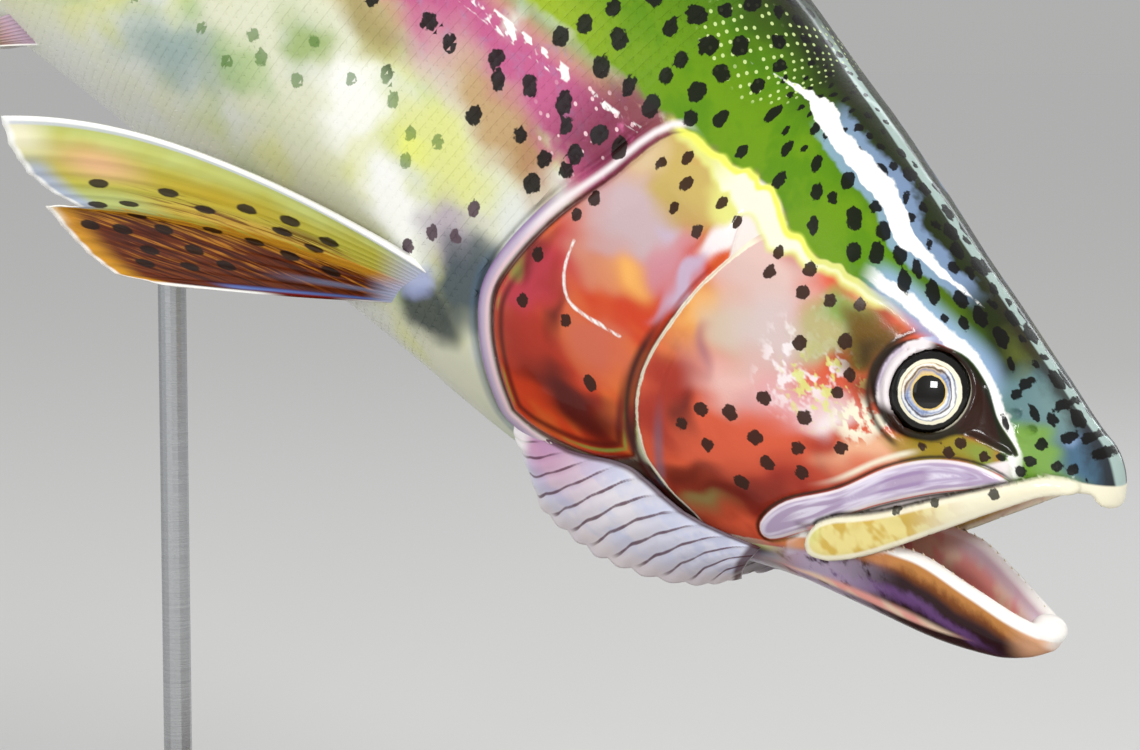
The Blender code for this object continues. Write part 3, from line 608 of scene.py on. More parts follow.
# %% Mirror the half, and close the tail's end
mirror_ids = np.where(middle, np.arange(len(half_points)), -1)
mirror_ids[~middle] = len(half_points) + np.arange((~middle).sum())
skin_points = np.concatenate([half_points, half_points[~middle] * [1, -1, 1]])
skin_quads = np.concatenate([half_quads, mirror_ids[half_quads][:, ::-1]])
tail_ring = ring_ids[-1]
tail_cap = list(tail_ring) + list(mirror_ids[tail_ring[1:-1]][::-1])
print("skin:", len(skin_points), "points,", len(skin_quads), "quads")


# %% Put a mesh into the scene
def add_piece(name, points, faces, replaced=(), notes=None, extra_faces=()):
    """A piece from straight points in millimetres. notes are the named values per point."""
    mesh = bpy.data.meshes.new(name)
    faces = np.asarray(faces)
    sides = faces.shape[1]
    extra = [list(map(int, f)) for f in extra_faces]
    loops = np.concatenate([faces.ravel()] + [np.array(f) for f in extra]).astype(np.int32)
    sizes = np.array([sides] * len(faces) + [len(f) for f in extra], np.int32)
    mesh.vertices.add(len(points))
    mesh.vertices.foreach_set("co", lay(points).astype(np.float32).ravel())
    mesh.loops.add(len(loops))
    mesh.loops.foreach_set("vertex_index", loops)
    mesh.polygons.add(len(sizes))
    mesh.polygons.foreach_set("loop_start", np.concatenate([[0], np.cumsum(sizes)[:-1]]).astype(np.int32))
    mesh.polygons.foreach_set("loop_total", sizes)
    mesh.update(calc_edges=True)
    mesh.validate()
    mesh.polygons.foreach_set("use_smooth", np.ones(len(sizes), bool))
    for key, values in (notes or {}).items():
        kind = "FLOAT" if np.ndim(values) == 1 else "FLOAT_VECTOR"
        note = mesh.attributes.new(key, kind, "POINT")
        note.data.foreach_set("value" if kind == "FLOAT" else "vector",
                np.asarray(values, np.float32).ravel())
    piece = bpy.data.objects.new(name, mesh)
    bpy.context.scene.collection.objects.link(piece)
    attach(piece, BODY)
    if replaced:
        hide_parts(*replaced)
    return piece


print("every piece rides the body", BODY)


# %% [markdown]
# ## Where every colour belongs
# A trout's colours follow its body: green above the cheek line, a rose band on the flank,
# red plates on the face. So every point of skin and scale carries a few measured notes:
# how far back it is, how far down from the ridge of the back, and how far inside each plate
# it lies. Paint made from such notes turns with the shape and looks right from any side,
# which a picture wrapped round the fish would not.

# %% Distance round the body from the ridge of the back
ARC_STEP, ARC_TURNS = 5, 96
ARC_X = np.arange(0, 560 + ARC_STEP, ARC_STEP, dtype=float)
ARC_ANGLES = np.linspace(0, math.pi, ARC_TURNS + 1)
arc_rows = []
for x in ARC_X:
    y, z = section_point(np.full(ARC_TURNS + 1, max(x, 0.5)), ARC_ANGLES)
    size = min(1.0, 0.25 + x / 10)
    arc_rows.append(size * np.concatenate([[0], np.cumsum(np.hypot(np.diff(y), np.diff(z)))]))
ARC_TABLE = np.array(arc_rows)


def turn_angle(x, y, z):
    """0 at the ridge of the back, pi at the keel of the belly."""
    power = roundness(x)
    tall = np.where(z > 0, back(x), belly(x))
    return np.arctan2((np.abs(y) / flank(x)) ** (power / 2), np.sign(z) * (np.abs(z) / tall) ** (power / 2))


def arc_round(x, angle):
    """Millimetres from the ridge of the back to this angle, measured over the skin."""
    i, j = np.clip(x, 0, 559.9) / ARC_STEP, np.clip(angle, 0, math.pi - 1e-6) / math.pi * ARC_TURNS
    i0, j0 = i.astype(int), j.astype(int)
    u, v = i - i0, j - j0
    t = ARC_TABLE
    return (t[i0, j0] * (1 - u) * (1 - v) + t[i0 + 1, j0] * u * (1 - v)
            + t[i0, j0 + 1] * (1 - u) * v + t[i0 + 1, j0 + 1] * u * v)


print("once round at the shoulder:", round(2 * float(ARC_TABLE[40, -1])), "mm")

# %% [markdown]
# ## Soft patches of colour
# The washes of a trout's face, the glow on its cheek or the shade behind the eye, have no
# hard edge, so they can be mixed at the points themselves and let the surface blend them.
# Each is an oval in the side view: colour, middle, half sizes, turn, softness, strength.
# Lines and spots need crisp edges, and are left to the shader.

# %% Tubes of colour
def tube(r, g, b):
    """A colour from its usual 0 to 255 numbers, as the linear values that shaders mix."""
    return tuple((v / 255) ** 2.2 for v in (r, g, b)) + (1.0,)


MOSS, LEAF, LIME = tube(62, 104, 10), tube(104, 146, 14), tube(160, 184, 40)
RIDGE, INK, BROWN_INK = tube(30, 34, 6), tube(14, 11, 6), tube(52, 26, 12)
ROSE, MAUVE = tube(190, 66, 130), tube(116, 40, 62)
PEARL = tube(226, 230, 226)
BUTTER, LEMON, CREAM = tube(222, 224, 128), tube(240, 246, 96), tube(246, 240, 214)
FERN, TAN, OCHRE = tube(120, 160, 72), tube(188, 166, 92), tube(206, 168, 66)
ORANGE, FLAME, BRICK = tube(222, 112, 52), tube(206, 66, 34), tube(160, 48, 36)
WINE, LILAC, ORCHID = tube(84, 24, 20), tube(196, 178, 204), tube(150, 120, 170)
SLATE, TEAL, SKY = tube(78, 104, 128), tube(92, 138, 140), tube(150, 178, 222)
OLIVE, UMBER, BARK = tube(140, 136, 24), tube(106, 76, 14), tube(40, 30, 12)
FLESH, PEACH, PALE = tube(222, 110, 100), tube(240, 184, 146), tube(252, 252, 248)
GRASS, STRAW, SAGE = tube(88, 136, 10), tube(222, 226, 142), tube(166, 196, 124)
HAZE, ASH, DUSK = tube(222, 224, 198), tube(186, 174, 186), tube(196, 140, 118)
CORAL, HONEY, BLUSH = tube(216, 92, 62), tube(244, 178, 96), tube(232, 186, 178)
CHALK, ROSEWOOD, ROSEWATER = tube(246, 236, 238), tube(184, 60, 78), tube(242, 206, 212)


print("leaf green mixes as", [round(v, 3) for v in LEAF[:3]])

# %% Washes, region by region
GLAZES = {
    "snout": [
        (SLATE, (10, 11), (13, 11), 35, 0.5, 0.9), (tube(100, 132, 138), (20, 17), (12, 8), 45, 0.6, 0.9),
        (tube(112, 140, 140), (16, 15), (9, 6), 45, 0.8, 0.9), (FERN, (16, 6.5), (13, 5), 25, 0.6, 0.95),
        (tube(72, 104, 128), (5, 8), (7, 7), 0, 0.7, 0.8), (SKY, (10, 11), (2.4, 3.4), 30, 0.9, 0.5),
        (tube(92, 100, 44), (28, 24), (8, 3), 40, 0.8, 0.8)],
    "face": [
        (BRICK, (66, -17), (20.2, 11.2), -30, 1.0, 0.9), (WINE, (78, -26), (22.4, 6.7), -30, 0.9, 0.85),
        (BRICK, (97, -14), (10.1, 16.8), 10, 0.9, 0.9), (CORAL, (76, -11), (19, 9), -20, 0.9, 0.95),
        (HONEY, (98, 10), (11.2, 15.7), 10, 0.9, 0.95), (BLUSH, (84, 0), (16.8, 10.1), -10, 0.9, 0.95),
        # The pinkish wash at (70, 1) is a painted highlight.
        (tube(228, 172, 176), (70, 1), (13.4, 9), -20, 0.9, 0.95),
        (tube(210, 190, 168), (88, 12), (15.7, 11.2), 0, 0.8, 0.98),
        # The pale pink wash at the cheek's top, (88, 24), is a painted highlight.
        (tube(220, 186, 178), (88, 24), (20.2, 13.4), 10, 0.7, 1.0),
        (tube(214, 194, 192), (78, 14), (14.6, 15.7), 0, 0.8, 0.95),
        # The dark streak at (93, 3) is a painted shadow.
        (tube(172, 112, 118), (93, 3), (4, 9), -14, 1.0, 0.85), (CHALK, (61, 1), (9, 5.6), -25, 0.9, 0.9),
        (PEACH, (50, -4), (15.7, 5), -25, 1.0, 0.9),
        (tube(136, 124, 74), (82, -30), (9, 2.6), -24, 1.0, 0.85),
        (WINE, (87, -26), (11, 4.6), -26, 0.9, 0.8), (WINE, (91, -13), (4, 8), -20, 1.0, 0.75),
        (PEACH, (47, -1), (7, 3.4), -30, 1.0, 0.9)],
    "brow": [
        (tube(180, 176, 120), (68, 18), (9, 10), 0, 0.7, 0.9), (FERN, (64, 24), (8, 7), 0, 0.7, 0.85),
        (OLIVE, (33, 3), (17, 6), -8, 0.6, 0.85), (FERN, (27, 3.5), (9, 5), -10, 0.8, 0.6),
        (tube(104, 84, 24), (58, 19), (9, 10), 0, 0.6, 0.95), (UMBER, (57, 22), (11, 5.5), 12, 0.8, 0.9),
        (BARK, (53, 10), (6, 4), -40, 0.8, 0.7), (BARK, (56, 18), (7, 6), 0, 1.0, 0.7)],
    "plate": [
        (ROSEWOOD, (137, -14), (13.4, 24.6), 12, 0.9, 0.9),
        (BRICK, (130, -27), (21.3, 11.2), -30, 0.9, 0.85),
        (tube(206, 104, 80), (116, -12), (15.7, 11.2), -10, 0.9, 0.95),
        # The wine wash at (114, -29) is painted shade on the cover's lower part.
        (WINE, (114, -29), (19, 7.3), -8, 0.9, 0.85),
        (tube(206, 146, 136), (132, 8), (16.8, 14.6), 0, 0.8, 0.95),
        (tube(200, 174, 178), (126, 16), (21.3, 14.6), 0, 0.7, 1.0),
        (tube(206, 140, 152), (112, 14), (9, 10.1), 0, 0.9, 0.9),
        (tube(194, 168, 96), (124, 30), (31.4, 12.3), 0, 0.65, 1.0),
        (tube(214, 188, 148), (137, 25), (7.8, 9), 0, 0.9, 0.9),
        (BUTTER, (104, 33), (16.8, 7.8), 0, 0.8, 0.95),
        (tube(204, 156, 146), (141, 12), (4.5, 12.3), 8, 1.0, 0.8),
        (tube(212, 136, 104), (126, 1), (13.4, 5.6), 0, 1.0, 0.85),
        (HONEY, (118, 5), (10.1, 6.7), -10, 1.0, 1.0), (FLAME, (118, -4), (14.6, 5.6), -10, 1.0, 0.8),
        (FLAME, (110, 2), (5.6, 6.7), 0, 1.0, 0.7), (WINE, (127, -16), (3.4, 10.1), -28, 1.0, 0.8),
        (BRICK, (134, -10), (3.4, 7.8), 10, 1.0, 0.6), (FERN, (142, -14), (2.5, 5.6), 0, 1.0, 0.7),
        (CHALK, (103, 27), (5.6, 10.1), 20, 0.6, 0.95), (LILAC, (105.5, 13), (3.4, 13.4), 12, 0.7, 0.9),
        # The wine wash at (113, -28) deepens the painted shade on the cover's lower part.
        (LILAC, (119, 20), (5.6, 4.5), 0, 1.0, 0.7), (WINE, (113, -28), (17, 8), -6, 0.8, 0.92),
        (WINE, (140, -9), (4, 9), 0, 1.0, 0.75),
        (BRICK, (131, -12), (4, 7), 0, 1.0, 0.6)],
    "low": [
        (tube(190, 156, 106), (170, 4), (32, 11), 6, 0.7, 0.92),
        (tube(172, 132, 86), (158, 4), (12, 9), 0, 0.8, 0.8),
        (tube(150, 132, 82), (212, -5), (20, 8), 0, 0.8, 0.8), (STRAW, (176, -12), (24, 11), 0, 0.6, 0.95),
        (LEMON, (182, -17), (9, 5), 0, 0.9, 0.5), (PALE, (178, -31), (18, 10), 10, 0.6, 0.95),
        (PALE, (202, -22), (13, 15), -20, 0.6, 0.9),
        (tube(146, 172, 90), (222, -20), (13, 9), 0, 0.8, 0.85),
        (tube(168, 196, 128), (232, -36), (17, 8), 0, 0.8, 0.8),
        (TEAL, (250, -46), (28, 13), -20, 0.8, 0.6),
        # The grey-teal wash at (150, -29) and the dark one at (153, -44) are painted shade under the
        # cover's edge and beneath the fin root.
        (ASH, (160, -24), (14, 12), 0, 0.7, 0.95), (tube(78, 90, 96), (150, -29), (14, 15), -20, 0.6, 0.98),
        (tube(48, 62, 66), (153, -44), (13, 9), -20, 0.6, 0.9),
        # The near-black wash at (93, -35.5) is a painted shadow under the cheek's lower edge.
        (tube(50, 20, 14), (93, -35.5), (20, 5.5), 8, 0.4, 0.97)],
    "lip": [
        (STRAW, (60, -27), (8, 6), -35, 0.8, 0.9), (OLIVE, (55, -20), (9, 2.0), -40, 0.9, 0.6),
        (OCHRE, (45, -17), (8, 3), -38, 0.9, 0.7)]}
GLAZE_NAMES = list(GLAZES)
ROSE_WORN = [(TAN, (172, 2), (36, 12), 5, 0.8, 0.97), (TAN, (214, -5), (24, 10), 0, 0.8, 0.9)]
print("washes:", sum(len(rows) for rows in GLAZES.values()))


# %% Mixing the washes
def glaze(rows, x, z):
    """The mixed colour of these washes, already dimmed by their cover, and the cover."""
    x = x + 1.3 * np.sin(0.23 * x + 0.31 * z) + 0.7 * np.sin(0.61 * z - 0.47 * x + 1.0)
    z = z + 1.3 * np.sin(0.29 * x - 0.19 * z + 2.0) + 0.7 * np.sin(0.53 * x + 0.66 * z)
    mixed, cover = np.zeros((len(x), 3)), np.zeros(len(x))
    for colour, middle, half, turn, soft, strength in rows:
        c, s = math.cos(math.radians(turn)), math.sin(math.radians(turn))
        dx, dz = x - middle[0], z - middle[1]
        far = np.hypot((dx * c + dz * s) / half[0], (dz * c - dx * s) / half[1])
        share = strength * (1 - rise(far, 1.0 - soft, 1.0))
        mixed = mixed * (1 - share)[:, None] + np.array(colour[:3]) * share[:, None]
        cover = cover * (1 - share) + share
    return mixed, cover


print("cover amid the cheek:", glaze(GLAZES["face"], np.array([84.0]), np.array([0.0]))[1].round(2))

# %% [markdown]
# ## Black spots
# Spots are the trout's signature. They are scattered like seeds thrown so that no two fall
# too close: crowded and small along the ridge, larger and wider apart on the side, fading
# below the rose band. Those on the head and shoulder are listed one by one, because a face
# is remembered, and the scattered ones keep clear of them.

# %% Spots listed one by one, as x and z
BACK_X, BACK_Z = BACK_EDGE[::-1, 0], BACK_EDGE[::-1, 1]
FACE_SPOTS = [(86.5, 30), (86, 25.5), (77, 29.5), (76, 24.5), (69, 25), (62, 26.5), (62, 18), (72, 14),
              (58.5, 11.5), (60, 7), (75.5, -0.5), (81.5, -7), (88, -9.5), (91, -15), (84, -16.5),
              (74.5, -9.5), (65.5, -1), (56, -4.5), (65, -8), (70.5, -14), (75, -21), (63, -13),
              (132.5, 28), (128.5, 33), (123, 29.5), (110, 32), (102, 31), (121, 24), (110.5, 24),
              (138.5, 11), (139, 5), (124.5, -14), (112.5, -21), (139.5, -8.5), (135, -19)]
SMALL_SPOTS = [(39, 1.5), (36, 4.5), (33, 2), (31, 5), (25.5, 3.5), (22, 4.5), (17.5, 2.5), (16.5, 5),
               (15.5, 9), (11, 5.5), (8, 5.5), (11.5, 11.5), (8.5, 12), (24, 17.5), (16, 17), (5, 9.5),
               (23.5, 20), (41.5, -14), (33.5, -9.5), (21.5, -3.7)]
NAPE_SPOTS = [(117, 42.5), (103.5, 49), (91, 49.5), (98, 43), (86, 44.5), (73.5, 42.5), (82, 38),
              (69, 36), (64, 37.5), (65.5, 42), (59, 38.5), (55, 33.5), (48.5, 33), (43, 33), (81, 49),
              (76, 52.5), (71, 53), (66, 51), (59, 47.5), (54.5, 44.5), (50.5, 41.5), (45.5, 39),
              (34, 31), (38, 30.5), (32.5, 27.5), (30, 28.5), (20, 21), (12.5, 15)]
SIDE_SPOTS = [(200, 5.5), (192.5, 6), (181, 12.5), (177, 9.5), (170, 14.5), (161, 18.5), (156.5, 15.5),
              (163.5, 5.5), (155, 6.5), (150, 13), (149, 20.5), (143, 22), (149, 9), (153, 0.5),
              (175.5, -0.5), (173, 27), (171, 33), (162.5, 37), (169, 40), (160.5, 30), (152.5, 32.5),
              (145, 33.5), (148, 40), (148.5, 44.5), (156, 47), (154.5, 52.5), (147, 50.5), (142, 55),
              (139.5, 49), (140, 43), (136, 38.5), (130.5, 43.5), (131, 53), (119.5, 52), (100.5, 55.5)]
LOW_SPOTS = [(246, -36.5), (233.5, -28.5), (235, -38), (228, -31), (217, -28.5), (219.5, -18.5),
             (206, -18), (199.5, -10.5), (194, -13.5), (185, -15.5), (178, -11.5), (181.5, -21),
             (164.5, -28), (159, -23.5), (167.5, -35.5), (160, -15)]
print("set by hand on each side:", sum(map(len, (FACE_SPOTS, SMALL_SPOTS, NAPE_SPOTS, SIDE_SPOTS,
        LOW_SPOTS))))

# %% Scatter the rest
SPOT_TRIES = 12000                  # seeds thrown on each side
rng = np.random.default_rng(20)


def spot_wishes(x, arc, z):
    """Spacing and radius of spots wished at a place, or None where there are none."""
    edge = float(np.interp(x, BACK_X, BACK_Z))
    if z < edge + 2.5 and x < 150 or math.hypot(x - EYE_PLACE[0], z - EYE_PLACE[1]) < 15:
        return None
    near = rise(arc, 5, 42)
    if x < 128:
        return (4.0 + 1.4 * near, 1.15 + 0.3 * near) if arc < 26 else None
    if z > edge:
        return 4.8 + 4.2 * near, 1.45 + 0.85 * near
    if x < 205 and z > -45:
        return None
    if z > edge - 34:
        return 10.5 + 0.15 * (edge - z), 2.0
    return (15.0, 1.6) if z > edge - 62 else None


def arc_at(x, z):
    """Distance from the ridge of the back, over the skin, to a place in the side view."""
    here = [np.array([v]) for v in (x, float(side_y(x, z)), z)]
    return float(arc_round(here[0], turn_angle(*here))[0])


def scatter_spots():
    """Rows of x, signed arc, radius, stretch, turn for both sides."""
    kept = []
    for side in (1, -1):
        for x, z in FACE_SPOTS + SMALL_SPOTS:            # only to keep the others away from them
            kept.append((x, side * arc_at(x, z), -9.0, 1.0, 0.0))
        for group, size in ((NAPE_SPOTS, 2.0), (SIDE_SPOTS, 2.15), (LOW_SPOTS, 1.7)):
            for x, z in group:
                kept.append((x, side * arc_at(x, z), size * rng.uniform(0.85, 1.12), rng.uniform(1.0, 1.3),
                             rng.uniform(0, 3.14)))
        for _ in range(SPOT_TRIES):
            x, angle = rng.uniform(3, 548), rng.uniform(0.0, 2.5) ** 1.15
            y, z = section_point(np.array([x]), np.array([angle]))
            arc = float(arc_round(np.array([x]), np.array([angle]))[0])
            wish = spot_wishes(x, arc, float(z[0]))
            if wish is None:
                continue
            spacing, radius = wish
            if all(abs(k[0] - x) > spacing or math.hypot(k[0] - x, k[1] - side * arc) > spacing
                   for k in kept):
                kept.append((x, side * arc, radius * rng.uniform(0.75, 1.2), rng.uniform(1.0, 1.45),
                             rng.uniform(0, 3.14)))
    return np.array(kept)


SPOTS = scatter_spots()
SPOTS = SPOTS[np.argsort(SPOTS[:, 0])]
print("spots:", len(SPOTS), "and", len(FACE_SPOTS), "on each side of the face")


# %% How deep a place lies in a spot
def spot_depth(x, arc, z):
    """How far each place lies inside its nearest spot, in millimetres, negative outside."""
    best = np.full(len(x), -6.0)
    by_hand = [(*s, 1.65) for s in FACE_SPOTS] + [(*s, 1.25) for s in SMALL_SPOTS]
    for number, (sx, sz, size) in enumerate(by_hand):
        best = np.maximum(best, size * (0.9 + 0.2 * math.sin(7.0 * number) ** 2) - np.hypot(x - sx, z - sz))
    for low in range(-5, 560, 8):
        at = np.flatnonzero((x >= low) & (x < low + 8))
        near = SPOTS[(SPOTS[:, 0] > low - 8) & (SPOTS[:, 0] < low + 16)]
        if not len(at) or not len(near):
            continue
        dx, da = x[at][:, None] - near[:, 0], arc[at][:, None] - near[:, 1]
        c, s = np.cos(near[:, 4]), np.sin(near[:, 4])
        far = np.hypot((dx * c + da * s) / near[:, 3], -dx * s + da * c)
        best[at] = np.maximum(best[at], (near[:, 2] - far).max(axis=1))
    return best


middles = [np.array([v]) for v in (86.5, arc_at(86.5, 30), 30.0)]
print("at the middle of the first face spot:", spot_depth(*middles).round(2), "mm")


# %% The notes each point carries
FAR = 60.0                          # plate distances beyond this many millimetres don't matter


def colour_notes(points):
    """Named values per point that the paint reads."""
    x, y, z = points.T
    angle = turn_angle(np.clip(x, 0.5, 560), y, z)
    arc = arc_round(x, angle) * np.where(y < 0, -1, 1)
    line = face_lines(x, z)
    above = line_distance(BACK_EDGE, x, z) * np.where(z > np.interp(x, BACK_X, BACK_Z), 1, -1)
    notes = {"place": np.stack([x, arc, z], -1),
             "plates": np.stack([line["cover"], line["cheek"], line["supra"]], -1).clip(-FAR, FAR),
             "face": np.stack([line["eye"], line["tear"], above], -1).clip(-FAR, FAR),
             "spots": np.stack([spot_depth(x, arc, z), line_distance(HIGHLIGHT_STREAK, x, z), line["brow"]], -1),
             "lines": np.stack([line_distance(LATERAL, x, z), line_distance(HIGHLIGHT_ARC, x, z),
                                1 - glaze(ROSE_WORN, x, z)[1]], -1)}
    lining = mouth_lining(x, y, z)
    low_jaw = rise(lip_line(x) - 1.0 - z, 0, 1.5) * (1 - rise(x, 60, 72))
    low_jaw = low_jaw * (1 - rise(np.abs(y), 18.6, 19.4))
    side = lip_side(x, z)
    plate = rise(maxilla_depth(x, z), -0.5, 0.1) * rise(np.abs(y) - side, -2.4, -1.6)
    notes["mouth"] = np.stack([lining, low_jaw * (1 - plate), plate], -1)
    notes["jaw"] = np.stack([z - jaw_rim(x), maxilla_depth(x, z), np.abs(y)], -1)
    glazes = {name: glaze(rows, x, z) for name, rows in GLAZES.items()}
    for name, (mixed, _) in glazes.items():
        notes["glaze_" + name] = mixed
    covers = [cover for _, cover in glazes.values()]
    notes["glaze_a"], notes["glaze_b"] = np.stack(covers[:3], -1), np.stack(covers[3:], -1)
    return notes


def mouth_lining(x, y, z):
    """1 on the pink walls inside the mouth."""
    y = np.abs(y)
    drop, half = jaw_rim(x) - z, jaw_width(x)
    inside_jaw = rise(half - 1.3 - 1.8 * rise(x, 7, 22) - y, -0.8, 0.4) * rise(drop, -1.0, 1.0) * rise(
        z - jaw_keel(x), 3.6, 4.6)
    above_rim = rise(lip_line(x) - z, -12.0, -8.0) * rise(z - jaw_rim(x), -0.5, 1.5) * rise(
        side_y(x, z) - y, 1.6, 3.0) * (1 - rise(x, 78, 92))
    under_lip = rise(z - lip_line(x), -0.6, 0.6)
    return np.clip(np.maximum(inside_jaw * (x < 92), above_rim * np.where(under_lip > 0, rise(
        side_y(x, z) - y, 3.0, 4.5), 1.0)) * (x > 5), 0, 1)


print("notes:", ", ".join(colour_notes(np.array([[120.0, 25.0, 0.0]]))))


# %% [markdown]
# ## Mixing paint with nodes
# A painter lays a ground and then glazes patches over it. The helper below does the same
# with shader nodes: it reads the notes, makes soft patches and sharp lines from them, and
# mixes one colour over another.

# %% Short words for shader nodes
class Paint:
    """One node tree with short words for the nodes that paint needs."""

    def __init__(self, tree):
        self.tree, self.nodes, self.links = tree, tree.nodes, tree.links
        self.notes, self.shader = {}, None

    def put(self, kind, inputs=(), **settings):
        made = self.nodes.new(kind)
        for key, value in settings.items():
            setattr(made, key, value)
        for slot, value in (inputs.items() if isinstance(inputs, dict) else enumerate(inputs)):
            if isinstance(value, bpy.types.NodeSocket):
                self.links.new(value, made.inputs[slot])
            elif value is not None:
                made.inputs[slot].default_value = value
        return made

    def note(self, name, part=None):
        """A note's value, or one of its three parts."""
        if name not in self.notes:
            read = self.put("ShaderNodeAttribute", attribute_name=name)
            split = self.put("ShaderNodeSeparateXYZ", [read.outputs["Vector"]])
            self.notes[name] = (read.outputs["Vector"], *split.outputs)
        return self.notes[name][0 if part is None else part + 1]

    def sum(self, a, b, kind="ADD"):
        return self.put("ShaderNodeMath", [a, b], operation=kind).outputs[0]

    def step(self, value, low, high, start=0.0, end=1.0):
        """From start to end, smoothly, as value goes from low to high."""
        if low > high:
            low, high, start, end = high, low, end, start
        made = self.put("ShaderNodeMapRange", [value, low, high, start, end],
                        interpolation_type="SMOOTHSTEP")
        return made.outputs[0]

    def band(self, value, centre, width):
        """1 at the centre, 0 a width away."""
        off = self.sum(self.sum(value, centre, "SUBTRACT"), 0, "ABSOLUTE")
        return self.step(off, width, 0.0)

    def noise(self, place, scale, detail=2.0, rough=0.5, warp=0.0):
        made = self.put("ShaderNodeTexNoise", {"Vector": place, "Scale": scale, "Detail": detail,
                                               "Roughness": rough, "Distortion": warp})
        return made.outputs["Fac"]

    def scaled(self, place, scale, shift=(0, 0, 0), turn=0.0):
        made = self.put("ShaderNodeMapping", [place, shift, (0, 0, turn), scale])
        return made.outputs[0]

    def shaken(self, place, amount, scale):
        """The place, pushed about by noise, so that edges look grown."""
        pushes = [self.stray(amount, self.scaled(place, (1, 1, 1), shift), scale, 3.0)
                  for shift in ((0, 0, 0), (71, 33, 0))]
        push = self.put("ShaderNodeCombineXYZ", pushes).outputs[0]
        return self.put("ShaderNodeVectorMath", [place, push]).outputs[0]

    def slope(self, value, rate, start):
        """rate * value + start."""
        return self.put("ShaderNodeMath", [value, rate, start], operation="MULTIPLY_ADD").outputs[0]

    def stray(self, size, place, *settings):
        """Noise round zero, about this big from its least to its most."""
        return self.times(self.sum(self.noise(place, *settings), 0.5, "SUBTRACT"), size)

    def patch(self, side, centre, size, turn=0.0, soft=1.0):
        """A soft oval in the side view: 1 in its middle, 0 at its rim."""
        c, s = math.cos(math.radians(turn)), math.sin(math.radians(turn))
        px, pz = centre
        u = self.slope(side[0], c / size[0], self.slope(side[1], s / size[0], -(px * c + pz * s) / size[0]))
        v = self.slope(side[0], -s / size[1], self.slope(side[1], c / size[1], (px * s - pz * c) / size[1]))
        return self.step(self.slope(v, v, self.sum(u, u, "MULTIPLY")), 1.0, (1.0 - soft) ** 2)

    def over(self, ground, colour, cover, blend="MIX"):
        """A colour laid over the ground where cover is 1."""
        made = self.put("ShaderNodeMix", data_type="RGBA", blend_type=blend)
        for slot, value in zip((0, 6, 7), (cover, ground, colour)):
            value = value.top if isinstance(value, Coat) else value
            if isinstance(value, bpy.types.NodeSocket):
                self.links.new(value, made.inputs[slot])
            else:
                made.inputs[slot].default_value = value
        return made.outputs[2]

    def dots(self, place, scale, keep, size, stray=0.9, dimensions="3D"):
        """Round dots strewn over a surface; keep is the share of cells left empty."""
        cell = self.put("ShaderNodeTexVoronoi", {"Vector": place, "Scale": scale, "Randomness": stray},
                        voronoi_dimensions=dimensions)
        pick = self.put("ShaderNodeSeparateColor", [cell.outputs["Color"]]).outputs[0]
        return self.times(self.step(cell.outputs["Distance"], size, size * 0.75),
                          self.step(pick, keep, keep + 0.06))

    def glazed(self, ground, name):
        """The soft patches of this name, already mixed at every point, laid over the ground."""
        read = self.put("ShaderNodeAttribute", attribute_name="glaze_" + name)
        part = GLAZE_NAMES.index(name)
        cover = self.note("glaze_a" if part < 3 else "glaze_b", part % 3)
        return self.over(self.over(ground, (0, 0, 0, 1), cover), read.outputs["Color"], 1.0, "ADD")

    def feed(self, slot, value):
        """This value drives the shader's slot."""
        self.links.new(value, self.shader.inputs[slot])

    def bumps(self, height, strength, distance):
        bump = self.put("ShaderNodeBump", {"Height": height, "Strength": strength, "Distance": distance})
        self.feed("Normal", bump.outputs[0])

    def coat(self, ground, colour, *covers):
        """A coat of paint that starts as this colour over this ground."""
        made = Coat(self, ground)
        made.brush(colour, *covers)
        return made

    def times(self, *values):
        made = values[0]
        for value in values[1:]:
            made = self.sum(made, value, "MULTIPLY")
        return made

    def most(self, a, b):
        return self.sum(a, b, "MAXIMUM")

    def less(self, a):
        return self.sum(1.0, a, "SUBTRACT")


trial_tree = bpy.data.node_groups.new("trial", "ShaderNodeTree")
Paint(trial_tree).patch((0.0, 0.0), (5, 5), (2, 2))
print("one soft patch takes", len(trial_tree.nodes), "nodes")
bpy.data.node_groups.remove(trial_tree)


# %% Coats of paint, and node groups
class Coat:
    """Paint laid in layers; top is the colour so far."""

    def __init__(self, paint, ground):
        self.paint, self.top = paint, ground

    def brush(self, colour, *covers):
        """A colour laid over the rest where all its covers are 1."""
        self.top = self.paint.over(self.top, colour, self.paint.times(*covers))

    def glaze(self, name):
        self.top = self.paint.glazed(self.top, name)


def new_group(name, outputs):
    """A node group with these output sockets, and its Paint."""
    tree = bpy.data.node_groups.new(name, "ShaderNodeTree")
    for label, kind in outputs:
        tree.interface.new_socket(label, in_out="OUTPUT", socket_type=kind)
    return tree, Paint(tree)


trial_tree, trial_paint = new_group("trial", [("Color", "NodeSocketColor")])
trial_paint.coat((0.3, 0.3, 0.1, 1), (0.6, 0.5, 0.3, 1), 0.5)
print("one coat over a ground takes", len(trial_tree.nodes), "node")
bpy.data.node_groups.remove(trial_tree)

# %% [markdown]
# ## The markings
# The same markings serve the skin and the scales over it, so they live in one node group.
# It works down the fish as a painter would: back, rose band, pale side, belly; then the
# face plate by plate; then painted shade in the creases, painted highlights on rims and
# wet places, and spots on top.

# %% The trunk: back, rose band, side and belly
markings, m = new_group("trout_markings", [("Colour", "NodeSocketColor"), ("Shine", "NodeSocketFloat")])
step, band, noise, times = m.step, m.band, m.noise, m.times
place = m.note("place")
x, arc, z = m.note("place", 0), m.note("place", 1), m.note("place", 2)
cloud = noise(place, 0.045, 3.0, 0.55)
fleck = noise(place, 0.22, 3.0, 0.6)
grit = noise(place, 0.9, 2.0, 0.6)
above = m.note("face", 2)
ridge_arc = m.sum(arc, 0, "ABSOLUTE")
side = [m.slope(noise(m.scaled(place, (1, 1, 1), (shift, 0, 0)), 0.13, 3.0), 4.5,
                m.sum(at, 2.25, "SUBTRACT"))
        for at, shift in ((x, 0), (z, 71))]

